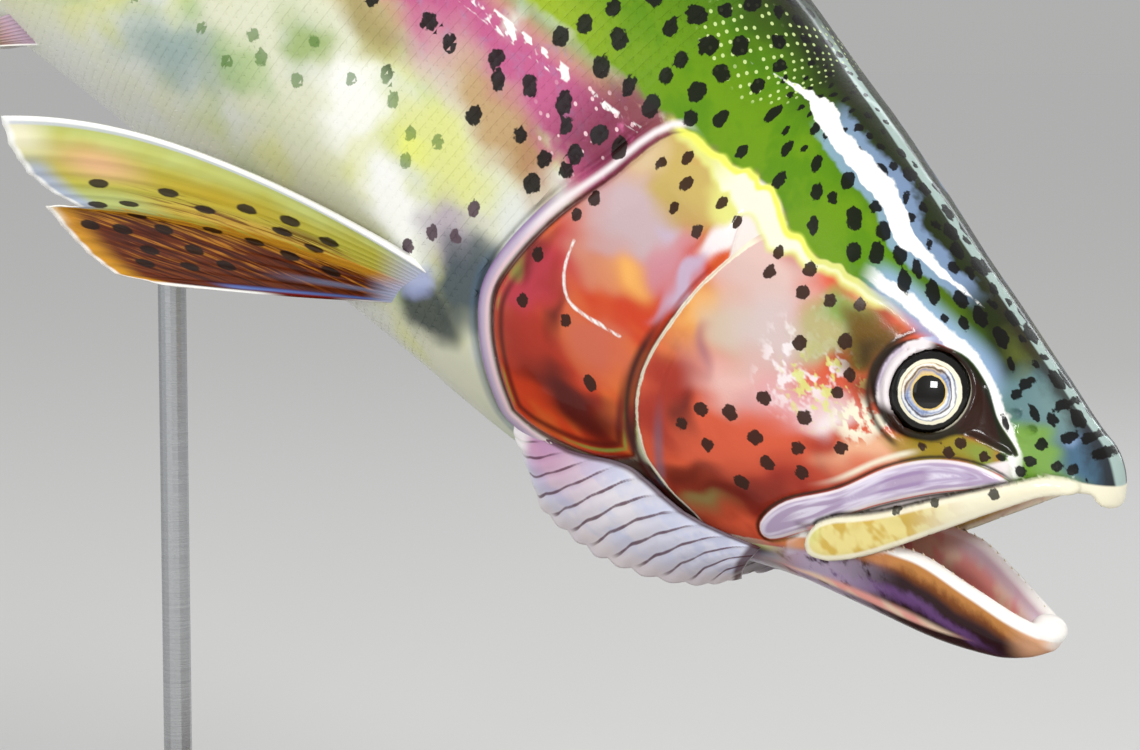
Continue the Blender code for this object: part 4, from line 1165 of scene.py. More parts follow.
colour = m.coat(GRASS, LEAF, step(noise(place, 0.07, 3.0, 0.6), 0.38, 0.6))
colour.brush(LIME, step(above, 13, 2), step(x, 145, 190), 0.9)
colour.brush(MOSS, step(m.sum(above, times(fleck, 9)), 12, 36), 0.9)
colour.brush(RIDGE, step(m.sum(ridge_arc, times(cloud, 14)), 29, 15), 0.96)
colour.brush(BARK, step(cloud, 0.52, 0.7), step(above, 14, 28), step(x, 60, 90), 0.5)

low = m.coat(HAZE, SAGE, step(noise(place, 0.026, 2.0, 0.5), 0.50, 0.66), 0.8)
low.brush(STRAW, step(noise(m.scaled(place, (1, 1, 1), (40, 9, 0)), 0.022, 2.0, 0.5), 0.47, 0.62), 0.85)
low.brush(PEARL, step(noise(m.scaled(place, (1, 1, 1), (90, 0, 0)), 0.03, 2.5, 0.55), 0.50, 0.66), 0.85)
low.glaze("low")
low.brush(PEARL, step(ridge_arc, 136, 158), 0.8)
line_off = m.note("lines", 0)
rose = times(step(above, -33, -22), step(above, 2.5, -4.0),
             step(m.sum(cloud, times(step(x, 300, 520), 0.15)), 0.30, 0.44))
rose_paint = m.coat(ROSE, DUSK, step(above, -9, -4), 0.85)
rose_paint.brush(ORCHID, step(fleck, 0.5, 0.7), 0.35)
low.brush(rose_paint, rose, m.note("lines", 2), 0.92)
low.brush(MAUVE, step(above, -27, -16), step(x, 168, 148), step(fleck, 0.2, 0.45), 0.85)
low.brush(FERN, band(above, -1.5, 4.0), step(x, 150, 165), 0.6)
colour.brush(low, step(m.sum(above, m.stray(5.0, place, 0.16, 2.0)), 1.0, -1.6))
print("trunk paint laid")

# %% The face: snout, cheek and cover
cover, cheek, supra = (m.note("plates", k) for k in range(3))
eye, tear = m.note("face", 0), m.note("face", 1)
colour.glaze("snout")
colour.brush(BARK, step(m.sum(ridge_arc, times(fleck, 6)), 12, 6), step(x, 50, 30), 0.8)
# A thin teal-white line along the ridge of the head is a painted rim highlight.
colour.brush(tube(196, 222, 216), step(ridge_arc, 2.4, 1.5), step(x, 150, 120), 0.7)

face = m.coat(CORAL, BRICK, step(noise(place, 0.06, 2.5, 0.5), 0.46, 0.66), 0.8)
face.glaze("face")
dapple = step(noise(place, 0.24, 2.0, 0.6), 0.47, 0.6)
face.brush(CHALK, m.patch(side, (69, 12), (13, 17), 25, 0.6), dapple, 0.9)
face.brush(BUTTER, m.patch(side, (64, 9), (12, 14), 25, 0.6), step(noise(place, 0.3, 2.0, 0.6), 0.52, 0.64),
           0.85)
face.brush(CREAM, m.patch(side, (53, 3), (9, 6), -20, 0.6), step(noise(place, 0.35, 2.0, 0.5), 0.42, 0.55))
face.glaze("brow")

plate = m.coat(FLAME, ORANGE, step(noise(place, 0.05, 2.0, 0.5), 0.45, 0.62), 0.9)
plate.glaze("plate")
# Painted highlight: the pale arc across the cover.
plate.brush(PALE, step(m.sum(m.note("lines", 1), times(fleck, 0.8)), 1.0, 0.45), 0.95)
low_edge = step(z, -8, -24)
plate.brush(WINE, band(cover, 3.2, 1.5), low_edge, 0.8)
# Painted shade: a dark line just inside the cover's edge.
plate.brush(WINE, step(cover, 1.4, 0.2), step(z, 14, 4), 0.9)
plate.brush(FERN, band(cover, 1.9, 0.7), low_edge, step(cloud, 0.45, 0.6), 0.7)
colour.brush(plate, step(cover, -0.6, 0.4), step(above, 1.0, -0.6))
on_face = times(step(above, 0.5, -0.5), step(cheek, -0.2, 0.3), step(z, -48, -44))
front_face = times(step(above, 0.5, -0.5), step(x, 70, 60))
colour.brush(face, m.most(on_face, front_face))
gap = times(step(cover, 0.5, -0.5), step(cheek, 0.3, -0.3), step(x, 119, 112), step(x, 88, 94),
            step(above, 0.6, -0.6), step(z, 2, 10))
colour.brush(tube(240, 228, 222), gap)
print("face paint laid")

# %% Painted shade in the creases, painted highlights on the rims, and the yellow seam
wavy = m.sum(above, m.stray(5.0, m.scaled(place, (1, 0.2, 0.2)), 0.15, 1.0))
mid_seam = band(x, 102, 30)
colour.brush(BUTTER, step(wavy, 0.6, 0.0), step(m.sum(wavy, times(mid_seam, 5.0)), -3.4, -1.6),
             step(x, 141, 132), step(x, 48, 60), 0.95)
colour.brush(LEMON, band(m.sum(wavy, 0.9), 0.5, 1.6), step(x, 142, 134), step(x, 74, 84), 0.9)
colour.brush(tube(244, 244, 218), step(wavy, -0.6, -1.6),
             step(m.sum(wavy, times(mid_seam, 5.5)), -2.2, -0.6), step(x, 126, 110), step(x, 48, 56), 0.95)
flap = times(step(cover, -5.0, -4.2), step(cover, -0.6, -1.2), step(z, 37, 34), step(x, 112, 120))
flap_paint = m.coat(LILAC, ORCHID, step(cover, -2.4, -4.4))
flap_paint.brush(ROSEWATER, step(cover, -2.6, -1.4), 0.8)
colour.brush(flap_paint, flap, step(z, 10, -4), 0.92)
# A pale rim on the flap: partly its whitish skin, partly a painted highlight.
colour.brush(CHALK, band(cover, -2.2, 1.5), step(z, -14, 2), step(x, 116, 124), step(z, 39, 36), 0.95)
# Painted shade darkens the skin beside the cover's lower edge, the creases along its edge and the slit
# behind the flap.
colour.brush(SLATE, band(cover, -6.2, 2.0), step(z, -10, -24), 0.5)
colour.brush(WINE, band(cover, -0.35, 0.9), step(z, 24, 14), step(x, 104, 112), 0.9)
colour.brush(WINE, band(cover, -0.3, 0.5), step(z, 37, 33), step(x, 120, 128), 0.5)
colour.brush(INK, band(cover, -5.6, 0.8), step(z, 10, 0), step(x, 120, 128), 0.45)
# Painted shadow in the crease behind the cheek's rim, and after it a cream painted highlight along the rim
# itself.
colour.brush(tube(60, 18, 14), band(cheek, -1.8, 1.9), step(z, 8, -6), step(x, 60, 72), 0.95)
colour.brush(BRICK, band(cheek, -1.2, 0.8), step(z, 22, 16), step(z, 2, 10), 0.6)
colour.brush(CREAM, step(m.sum(cheek, times(fleck, 0.9)), 2.1, 1.6), step(cheek, -0.5, 0.0),
             step(z, 32, 28), step(z, -42, -38), step(x, 66, 76))
along_lip = m.put("ShaderNodeCombineXYZ", [times(x, 0.07), times(supra, 0.55)]).outputs[0]
supra_paint = m.coat(tube(180, 160, 190), tube(228, 220, 238), step(noise(along_lip, 1.0, 2.0), 0.42, 0.6))
supra_paint.brush(ORCHID, band(supra, 2.6, 0.8), step(x, 62, 45), 0.6)
supra_paint.brush(CHALK, step(supra, 1.0, 0.5), 0.8)
colour.brush(supra_paint, step(supra, -0.1, 0.3))
near_lip = step(m.note("jaw", 1), -5.5, -4.5)
lip_gap = times(near_lip, step(supra, -4.2, -3.4), step(supra, 0.0, -0.3), step(x, 70, 64), step(x, 17, 21))
colour.brush(CHALK, lip_gap, 0.95)
# Painted shade in the groove round the supramaxilla, and a cream painted highlight along its upper edge.
colour.brush(BARK, band(supra, -0.45, 0.7), step(x, 16, 22), 0.9)
colour.brush(CREAM, band(supra, -1.9, 1.1), step(z, -16, -8), step(x, 22, 30), step(above, -16, -21), 0.9)
print("creases laid")

# %% The eye's surround, and the painted highlights on the lid, on the brow and along the back
dark_eye = times(step(tear, -0.6, 0.5), step(eye, 7.0, 7.6))
colour.brush(tube(24, 18, 8), dark_eye, 0.97)
colour.brush(BARK, band(eye, 13.6, 1.2), step(x, 43, 46), step(z, 27, 23), 0.85)
# The white crescent and the lilac band behind the eye are a painted highlight on the eyelid fold.
colour.brush(CHALK, step(m.sum(eye, times(fleck, 1.6)), 13.0, 12.4), step(eye, 8.2, 8.8), step(x, 42, 45),
             step(z, 6, 9), step(z, 26, 24), 0.95)
colour.brush(LILAC, band(eye, 11.6, 1.0), step(x, 44, 47), step(z, 9, 12), step(z, 22, 19), 0.75)
colour.brush(CREAM, band(eye, 8.3, 0.7), step(x, 38, 34), 0.8)
brow = m.note("spots", 2)
on_brow = times(step(x, 16, 20), step(x, 66, 58), step(tear, 0.2, -0.2))
# The sky-blue band and the white line along the brow are a painted highlight on its ridge.
colour.brush(SKY, band(brow, 1.5, 3.2), step(x, 24, 30), on_brow, 0.75)
colour.brush(PALE, step(m.sum(brow, times(fleck, 2.2)), 2.9, 2.2), on_brow, 0.97)
# A painted highlight: a white streak along the wet back of the head, inside a sky-blue fringe of painted
# shade.
highlight_off = m.sum(m.note("spots", 1), m.stray(3.0, place, 0.12, 3.0, 0.6))
broad = times(step(x, 34, 66), step(x, 139, 96), 2.1)
painted_highlight = times(step(m.sum(broad, highlight_off, "SUBTRACT"), 0.15, 0.5), step(x, 36, 40), step(x, 140, 134))
colour.brush(SKY, step(m.sum(m.sum(broad, 1.6), highlight_off, "SUBTRACT"), 0.0, 0.9), step(x, 38, 46),
             step(x, 106, 92), 0.6)
colour.brush(PALE, painted_highlight, 0.95)
print("surround laid")

# %% The lateral line, spots and specks
dash = step(noise(m.scaled(place, (1, 1.6, 1.6)), 0.22, 2.0), 0.48, 0.55)
dash_wide = times(step(x, 150, 176), step(x, 230, 190), 1.1)
colour.brush(PALE, step(m.sum(line_off, dash_wide, "SUBTRACT"), 1.0, 0.5), step(x, 138, 146),
             step(x, 460, 300), dash, 0.9)
drops = m.dots(place, 0.42, 0.6, 0.3)
colour.brush(ROSEWATER, drops, step(above, -28, -20), step(above, -3, -6), step(x, 142, 146),
             step(x, 170, 158), 0.9)
# The small pale dots on the nape are painted glints.
beads = m.dots(m.scaled(place, (1.0, 1.2, 1.0), (0, 0, 0), 0.35), 0.37, 0.10, 0.21, 0.25, "2D")
colour.brush(tube(206, 226, 150), beads, m.patch(side, (136, 57), (20, 9), -8, 0.15), 0.85)
spot = m.sum(m.note("spots", 0), m.stray(1.7, place, 0.6, 2.0))
ink = m.coat(INK, BROWN_INK, step(above, 0, -4), step(x, 150, 130))
green_spot = times(step(above, -30, -38), step(x, 168, 176))
ink.brush(tube(74, 118, 40), green_spot)
ink.brush(tube(92, 74, 84), step(above, -38, -46), step(x, 172, 166), step(x, 146, 150))
# Spots stay out of the dark teardrop and mostly out of the painted highlight streak.
clear = times(step(tear, 0.4, -0.6), m.less(times(painted_highlight, 0.9)))
colour.brush(ink, step(spot, -0.1, 0.2), step(eye, 10.5, 11.5), m.less(times(green_spot, 0.3)), 0.97, clear)
print("spots laid")

# %% The mouth and the lower jaw
lining, jaw, maxilla = (m.note("mouth", k) for k in range(3))
rim = m.note("jaw", 0)
jaw_paint = m.coat(tube(196, 132, 70), tube(120, 66, 26), step(m.sum(rim, times(fleck, 4)), 0.6, -2.4))
# The dark violet below the jaw's rim is painted shade on its underside; the lilac further back is a painted
# highlight.
jaw_paint.brush(tube(40, 22, 32), step(m.sum(rim, times(cloud, 4)), -1.6, -4.2), step(x, 9, 15), 0.95)
jaw_paint.brush(tube(120, 84, 140), band(m.sum(rim, times(fleck, 4)), -7.5, 2.6), step(x, 14, 26), 0.75)
jaw_paint.brush(LILAC, step(x, 38, 58), step(rim, -2, -5), step(fleck, 0.3, 0.5), 0.85)
jaw_paint.brush(tube(226, 150, 96), step(x, 36, 50), step(rim, -4.5, -2.5), 0.9)
jaw_paint.brush(PEACH, step(x, 16, 9), 0.8)
jaw_paint.brush(PALE, m.most(step(rim, -1.1, -0.2), times(step(x, 9, 5), step(rim, -4, -2))), 0.95)
colour.brush(jaw_paint, jaw)
maxilla_inside = m.note("jaw", 1)
max_paint = m.coat(tube(232, 216, 140), OCHRE, step(noise(place, 0.17, 2.0, 0.5), 0.48, 0.62), 0.85)
max_paint.glaze("lip")
max_paint.brush(CREAM, step(x, 40, 26), 0.9)
max_paint.brush(CREAM, step(maxilla_inside, 1.6, 0.9), 0.9)
colour.brush(max_paint, maxilla)
# Painted shade in the crease round the maxilla.
colour.brush(BARK, band(maxilla_inside, -0.5, 1.0), step(x, 12, 24), step(jaw, 0.6, 0.1), step(lining, 0.5, 0.1),
             0.9)
lip = times(step(x, 14, 11), step(z, 3.6, 3.0), step(lining, 0.6, 0.2), m.less(jaw), m.less(maxilla))
colour.brush(CREAM, lip, 0.95)
colour.brush(INK, maxilla, step(spot, -0.1, 0.2), 0.9)
wet_pink = m.coat(tube(255, 176, 166), tube(255, 224, 196), step(noise(place, 0.10, 2.0), 0.42, 0.6))
wet_pink.brush(tube(226, 214, 236), step(rim, -5.5, -1), step(x, 50, 34), 0.85)
wet_pink.brush(tube(186, 84, 80), step(x, 66, 90), 0.85)
colour.brush(wet_pink, lining)
throat = times(step(rim, -3, -8), band(x, 76, 22), step(cheek, -0.5, -3.0), step(cover, -1, -4))
colour.brush(m.over(ORCHID, SKY, step(cloud, 0.42, 0.6)), throat, step(jaw, 0.9, 0.2), 0.85)
root_near = m.patch(side, (160, -40), (5, 8), 25, 0.7)
colour.brush(tube(168, 178, 222), root_near, 0.85)
m.put("NodeGroupOutput", {"Colour": colour.top, "Shine": step(grit, 0.3, 0.7)})
print("markings:", len(markings.nodes), "nodes")


# %% Skin and scale finishes
def finish(name, settings):
    """A material whose shader holds these constants, and its Paint."""
    material = bpy.data.materials.new(name)
    material.use_nodes = True
    shader = material.node_tree.nodes["Principled BSDF"]
    for key, value in settings.items():
        shader.inputs[key].default_value = value
    paint = Paint(material.node_tree)
    paint.shader = shader
    return material, paint


skin_finish, p = finish("trout_skin", {"Coat Weight": 0.3, "Coat Roughness": 0.08, "IOR": 1.4,
                                       "Specular IOR Level": 0.2})
marks = p.put("ShaderNodeGroup", node_tree=markings)
p.feed("Base Color", marks.outputs["Colour"])
p.feed("Roughness", p.step(marks.outputs["Shine"], 0, 1, 0.30, 0.46))
p.bumps(p.noise(p.note("place"), 1.6, 3.0, 0.6), 0.12, 0.0004)
print("skin finish:", len(skin_finish.node_tree.nodes), "nodes")

# %% Make the skin
SKIN_NODES = ["head", "jaw_lower", "maxilla_right", "maxilla_left", "gill_cover_right", "gill_cover_left",
              "trunk_front", "trunk_rear", "tail_stalk"]
skin = add_piece("skin", skin_points, skin_quads, SKIN_NODES, colour_notes(skin_points), [tail_cap])
skin.data.materials.append(skin_finish)
print("skin made at", round(time.time() - started, 1), "s")


# %% [markdown]
# ## The eyes
# A trout's eye is a clear, wet, slightly flattened dome: black pupil, thin gold ring, and
# a silver iris with a darker band. A dome turned from a profile and lit through a clear
# coat looks right, as long as the rings are painted by their real distance from the axis.

# %% Eye shape
EYE_RINGS, EYE_SPOKES = 40, 72


def tube_quads(rings, sides):
    """Quads of a tube whose points run round ring after ring."""
    return [(r * sides + k, r * sides + (k + 1) % sides, (r + 1) * sides + (k + 1) % sides,
             (r + 1) * sides + k)
            for r in range(rings - 1) for k in range(sides)]


def eye_dome(side):
    """Points, faces and notes of one eyeball, front half and a shallow back."""
    tilt = np.linspace(0.0, math.pi * 0.62, EYE_RINGS)
    points, notes = [], []
    for t in tilt[1:]:
        for k in range(EYE_SPOKES):
            a = 2 * math.pi * k / EYE_SPOKES
            far = EYE_RADIUS * math.sin(t)
            points.append(EYE_CENTRE + EYE_ALONG * far * math.cos(a) + EYE_ACROSS * far * math.sin(a)
                          + facing * EYE_DEPTH * math.cos(t))
            notes.append((far, far * math.cos(a), far * math.sin(a)))
    points.append(EYE_CENTRE + facing * EYE_DEPTH)
    notes.append((0.0, 0.0, 0.0))
    tip, rings = len(points) - 1, len(tilt) - 1
    quads = tube_quads(rings, EYE_SPOKES)
    fans = [(tip, (k + 1) % EYE_SPOKES, k) for k in range(EYE_SPOKES)]
    fans.append([(rings - 1) * EYE_SPOKES + k for k in range(EYE_SPOKES)][::-1])
    points = np.array(points) * [1, side, 1]
    if side < 0:
        quads, fans = [q[::-1] for q in quads], [f[::-1] for f in fans]
    return points, quads, fans, {"ring": np.array(notes)}


print("eye rings:", EYE_RINGS, "of", EYE_SPOKES)

# %% Eye finish
eye_finish, p = finish("trout_eye", {"Roughness": 0.3, "Coat Weight": 0.8, "Coat Roughness": 0.02,
                                     "IOR": 1.38, "Specular IOR Level": 0.1})
along, up = p.note("ring", 1), p.note("ring", 2)
ring = p.sum(p.note("ring", 0), 1.13, "MULTIPLY")
spin = p.put("ShaderNodeMath", [up, along], operation="ARCTAN2").outputs[0]
polar = [p.times(spin, 5.0), p.times(ring, 0.35), 0.0]
polar = p.put("ShaderNodeCombineXYZ", polar).outputs[0]
spoke = p.noise(polar, 1.6, 3.0, 0.6)
shake = p.sum(ring, p.stray(0.5, p.note("ring"), 0.6, 2.0))
wander = p.sum(ring, p.stray(2.6, p.note("ring"), 0.22, 3.0))
iris = p.coat(tube(190, 200, 222), tube(112, 124, 160), p.step(spoke, 0.42, 0.66), 0.8)
iris.brush(PALE, p.step(p.sum(along, p.times(up, 0.5)), -1.5, -5.0), 0.75)
iris.brush(tube(226, 190, 120), p.step(p.sum(up, p.times(along, 0.9)), 2.0, 4.5), 0.8)
iris.brush(tube(96, 120, 176), p.band(wander, 5.1, 0.5), 0.7)
iris.brush(tube(66, 52, 62), p.band(wander, 5.75, 0.4), 0.9)
iris.brush(PALE, p.band(wander, 6.3, 0.45), 0.85)
eye_paint = p.coat(INK, tube(226, 196, 120), p.step(shake, 4.0, 4.15))
eye_paint.brush(iris, p.step(shake, 4.4, 4.6))
eye_paint.brush(tube(74, 74, 96), p.band(wander, 6.9, 0.3), 0.7)
eye_paint.brush(CREAM, p.step(p.sum(shake, p.times(wander, 0.35)), 9.4, 9.65))
eye_paint.brush(INK, p.step(shake, 7.9, 8.1))
p.feed("Base Color", eye_paint.top)
for name, side_sign in (("right", 1), ("left", -1)):
    points, quads, fans, notes = eye_dome(side_sign)
    eye_piece = add_piece(f"eyeball_{name}", points, quads, [f"eye_{name}"], notes, fans)
    eye_piece.data.materials.append(eye_finish)
print("eyes:", len(eye_piece.data.polygons), "faces each")

# %% [markdown]
# ## Ribbed fins
# A fin is a fan of jointed rays with thin skin between them. A flat plate would look like
# card, so each fin is built as a fine grid whose thickness swells along every ray, thins
# between rays, and doubles its ribs towards the edge, where real rays branch.


# %% Fin surfaces
def bowed_rays(roots, middles, tips, steps):
    """A grid of rays, each a curve from its root past its middle to its tip."""
    t = np.linspace(0, 1, steps)[None, :, None]
    return (1 - t) ** 2 * roots[:, None] + 2 * t * (1 - t) * middles[:, None] + t * t * tips[:, None]


def between(rows, at):
    """Straight interpolation along the first axis of rows, at from 0 to 1."""
    rows = np.asarray(rows, dtype=float)
    k = np.clip(at * (len(rows) - 1), 0, len(rows) - 1 - 1e-9)
    i = k.astype(int)
    return rows[i] + (rows[i + 1] - rows[i]) * (k - i)[:, None]


def rib(at, count):
    """1 along the middle of each of this many rays, 0 between them."""
    return np.exp(-(((at * count) % 1.0 - 0.5) / 0.2) ** 2)


def sheet(top, under):
    """Points and quads of a thin closed sheet between two grids (across, along, xyz)."""
    across, along = top.shape[:2]
    size = across * along
    a = (np.arange(across - 1)[:, None] * along + np.arange(along - 1)).ravel()
    quads = np.stack([a, a + 1, a + along + 1, a + along], -1)
    rim = np.concatenate([np.arange(along - 1), np.arange(along - 1, size - 1, along),
                          np.arange(size - 1, size - along, -1), np.arange(size - along, 0, -along)])
    skirt = np.stack([rim, np.roll(rim, -1), np.roll(rim, -1) + size, rim + size], -1)
    faces = np.concatenate([quads[:, ::-1], quads + size, skirt])
    points = np.concatenate([top.reshape(-1, 3), under.reshape(-1, 3)])
    return points, faces[:, ::-1] if looks_inwards(points, faces) else faces


def looks_inwards(points, faces):
    """True if a closed mesh's faces look inwards: its volume comes out negative."""
    a, b, c, d = (points[faces[:, k]] for k in range(4))
    halves = [np.einsum("ij,ij->i", a, np.cross(p, q)).sum() for p, q in ((b, c), (c, d))]
    return halves[0] + halves[1] < 0


print("a rib midway up its side:", round(float(rib(0.3, 1)), 2))


# %% One ribbed fin
RIB_SWELL = 0.35                    # how far a rib stands proud, unless told otherwise


def fin_piece(name, node, rays, count, root_half, edge_half, swell=RIB_SWELL, stout=1.0, fray=1.6, side=1,
              spots=()):
    """A ribbed fin from a dense grid of ray points (across, along, xyz)."""
    across, along = rays.shape[:2]
    s, v = np.linspace(0, 1, across)[:, None], np.linspace(0, 1, along)[None, :]
    rays = rays * np.array([1.0, side, 1.0])
    fork = rise(v, 0.35, 0.7)
    ribs = rib(s, count) * (1 - fork) + np.maximum(rib(s, count * 2), 0.35 * rib(s, count)) * fork
    if fray:
        tug = rays[:, -1] - rays[:, -2]
        tug /= np.maximum(np.linalg.norm(tug, axis=-1, keepdims=True), 1e-9)
        notch = (1 - rib(s, count))[:, 0] * fray
        rays = rays - tug[:, None] * (notch[:, None] * rise(v, 0.8, 1.0))[..., None]
    normal = np.cross(np.gradient(rays, axis=1), np.gradient(rays, axis=0))
    normal /= np.maximum(np.linalg.norm(normal, axis=-1, keepdims=True), 1e-9)
    half = root_half * (1 - v) ** 1.3 + edge_half + swell * (1 - 0.65 * v) * ribs
    lead = np.exp(-(s / 0.03) ** 2) * stout * (1 - 0.6 * v)
    half = (half + lead) * (1 - 0.55 * rise(v, 0.94, 1.0))
    wave = 1.1 * swell * np.sin(s * count * 2 * math.pi) * rise(v, 0.2, 0.9)
    top, under = rays + normal * (half + wave)[..., None], rays - normal * (half - wave)[..., None]
    points, faces = sheet(top, under)
    width = np.concatenate([[0], np.cumsum(np.linalg.norm(np.diff(rays[:, -1], axis=0), axis=-1))])
    length = np.linalg.norm(np.diff(rays, axis=1), axis=-1).sum(axis=1)
    fan = np.stack([np.broadcast_to(s, half.shape), np.broadcast_to(v, half.shape),
                    ribs * np.ones_like(half)], -1).reshape(-1, 3)
    flat = np.stack([width[:, None] * (0.35 + 0.65 * v), length[:, None] * v, 0 * half], -1).reshape(-1, 3)
    notes = {"fan": np.concatenate([fan, fan]), "flat": np.concatenate([flat, flat]), "place": points}
    if spots:
        depth = np.full(fan.shape[0], -3.0)
        for across_at, along_at in spots:
            here = flat[np.argmin(np.hypot(fan[:, 0] - across_at, fan[:, 1] - along_at))]
            off = (flat - here) / [2.5, 3.2, 1]
            depth = np.maximum(depth, 1.0 - np.hypot(off[:, 0], off[:, 1]))
        notes["fan_spots"] = np.tile(np.stack([depth] * 3, -1), (2, 1))
    return add_piece(name, points, faces, [node], notes)


print("ribs stand", RIB_SWELL, "mm proud unless told otherwise")

# %% The paired fins
PECTORAL_ROOT = ((156.0, 27.0, -35.0), (162.5, 22.0, -49.0))
PECTORAL_TIPS = [(269, 62, -76.6), (261, 61, -80.5), (252, 59, -82.6), (243, 57, -82.4), (234, 55, -80.5),
    (242, 56, -86.0), (232, 53, -87.6), (224, 51, -88.2), (216, 49, -87.6), (205, 45, -82.0)]
PELVIC_ROOT = ((284.0, 9.0, -66.0), (298.0, 12.5, -65.0))
PELVIC_TIPS = [(334, 24, -92), (332, 25, -93.5), (328, 26, -93.5), (324, 26.5, -91.5), (320, 26.5, -88.5),
               (317, 26, -85), (314, 25, -81)]
FIN_SPOTS = [(0.27, 0.83), (0.26, 0.66), (0.42, 0.93), (0.39, 0.81), (0.53, 0.77), (0.32, 0.58),
             (0.23, 0.46), (0.2, 0.34), (0.26, 0.25), (0.33, 0.38), (0.4, 0.31), (0.62, 0.9),
             (0.63, 0.81), (0.6, 0.69), (0.52, 0.57), (0.72, 0.78), (0.68, 0.64), (0.8, 0.83),
             (0.79, 0.69), (0.59, 0.34), (0.55, 0.44), (0.64, 0.23), (0.76, 0.57)]
ALONG = 56


def paired_rays(root, tips, lift, across):
    """Rays of a paired fin: roots on a line, tips on an outline, bowed by the lift."""
    share = np.linspace(0, 1, across)
    feet = np.array(root[0]) * (1 - share)[:, None] + np.array(root[1]) * share[:, None]
    ends = between(tips, share)
    middles = (feet + ends) / 2 + np.array(lift) * (1 - 1.25 * share)[:, None]
    return bowed_rays(feet, middles, ends, ALONG)


fins = {}
for name, sign in (("right", 1), ("left", -1)):
    rays = paired_rays(PECTORAL_ROOT, PECTORAL_TIPS, (4.0, 8.0, 11.0), 160)
    fins[f"pectoral_{name}"] = fin_piece(f"pectoral_fin_{name}", f"fin_pectoral_{name}", rays, 15,
                                         0.75, 0.26, 0.10, 0.25, 0.35, sign, FIN_SPOTS)
    rays = paired_rays(PELVIC_ROOT, PELVIC_TIPS, (2.0, 2.5, -1.5), 82)
    fins[f"pelvic_{name}"] = fin_piece(f"pelvic_fin_{name}", f"fin_pelvic_{name}", rays, 10,
                                       0.75, 0.26, 0.28, 0.6, 1.0, sign)
print("paired fins:", sum(len(f.data.polygons) for f in fins.values()), "faces")


# %% The fins on the midline, and the tail
def standing_rays(start, end, lengths, lean, edge, across):
    """Rays of a midline fin, given its reach and lean in degrees along its foot."""
    reach_at, tilt_at = smooth_curve(lengths), smooth_curve(lean)
    share = np.linspace(0, 1, across)
    x = start + (end - start) * share
    foot_z = edge * ((back if edge > 0 else belly)(x) - 2.0)
    reach, angle = reach_at(share) + 2.0, np.radians(tilt_at(share))
    zero = np.zeros(across)
    feet = np.stack([x, zero, foot_z], -1)
    ends = np.stack([x + reach * np.sin(angle), zero, foot_z + edge * reach * np.cos(angle)], -1)
    middles = np.stack([x + 0.42 * reach * np.sin(angle), zero,
                        foot_z + edge * 0.55 * reach * np.cos(angle)], -1)
    return bowed_rays(feet, middles, ends, ALONG)


caudal_reach = smooth_curve([(0, 56), (0.5, 60), (0.85, 71), (1, 65)])
caudal_spread = smooth_curve([(0, 0), (0.5, 31), (0.85, 56), (1, 63)])


def caudal_rays(across):
    s = np.linspace(-1, 1, across)
    reach, spread = caudal_reach(np.abs(s)), caudal_spread(np.abs(s)) * np.sign(s)
    feet = np.stack([STANDARD_LENGTH - 1 + 0 * s, 0 * s, 27.5 * s], -1)
    middles = np.stack([STANDARD_LENGTH + 0.42 * reach, 0 * s, 41.0 * s], -1)
    ends = np.stack([STANDARD_LENGTH + reach, 0 * s, spread], -1)
    rays = bowed_rays(feet, middles, ends, ALONG)
    rays[..., 1] = -4.0 * ((rays[..., 0] - STANDARD_LENGTH) / 70) ** 2
    return rays


fins["dorsal"] = fin_piece("dorsal_fin", "fin_dorsal", standing_rays(
    247, 314, [(0, 22), (0.12, 46), (0.25, 58), (0.45, 54), (0.75, 39), (1, 28)],
    [(0, 30), (0.25, 37), (1, 54)], 1, 106), 12, 0.7, 0.24, 0.32, 0.4, 1.6)
fins["adipose"] = fin_piece("adipose_fin", "fin_adipose", standing_rays(
    441, 454, [(0, 21), (0.4, 20), (1, 10)],
    [(0, 64), (0.5, 66), (1, 74)], 1, 30), 1, 1.0, 0.5, 0.0, 0.0, 0.0)
fins["anal"] = fin_piece("anal_fin", "fin_anal", standing_rays(
    398, 443, [(0, 16), (0.15, 36), (0.3, 43), (0.55, 35), (1, 20)],
    [(0, 26), (0.3, 37), (1, 56)], -1, 98), 11, 0.7, 0.24, 0.30, 0.5, 1.4)
fins["caudal"] = fin_piece("tail_fin", "fin_caudal", caudal_rays(162), 19, 2.6, 0.26, 0.32, 0.3, 1.6)
print("fins in all:", sum(len(f.data.polygons) for f in fins.values()), "faces")

# %% Pectoral fin finish
WET = {"Coat Weight": 0.35, "Coat Roughness": 0.12, "Specular IOR Level": 0.2}
pectoral_finish, p = finish("pectoral_fin_skin", WET | {"Roughness": 0.4})
s, v, ribs = (p.note("fan", k) for k in range(3))
flat = p.note("flat")
wisp = p.noise(p.scaled(flat, (0.9, 0.06, 1)), 0.8, 3.0, 0.6)
haze = p.noise(flat, 0.06, 2.0, 0.5)
upper = p.coat(tube(184, 178, 66), tube(196, 206, 120), p.step(p.sum(s, p.times(haze, 0.3)), 0.34, 0.16))
upper.brush(tube(190, 160, 30), p.band(s, 0.22, 0.13), p.band(v, 0.52, 0.3), 0.8)
upper.brush(tube(206, 150, 62), p.band(s, 0.38, 0.12), p.band(v, 0.5, 0.45), 0.7)
upper.brush(PEACH, p.band(v, 0.80, 0.16), p.band(s, 0.17, 0.13), 0.8)
upper.brush(tube(176, 190, 120), p.step(v, 0.68, 0.82), p.step(s, 0.26, 0.36), 0.8)
upper.brush(CREAM, p.step(v, 0.86, 0.97), p.step(s, 0.2, 0.08), 0.8)
upper.brush(tube(164, 176, 206), p.step(s, 0.12, 0.22), p.step(v, 0.90, 0.97), 0.85)
streaky = p.sum(s, p.times(p.sum(wisp, 0.5, "SUBTRACT"), 0.34))
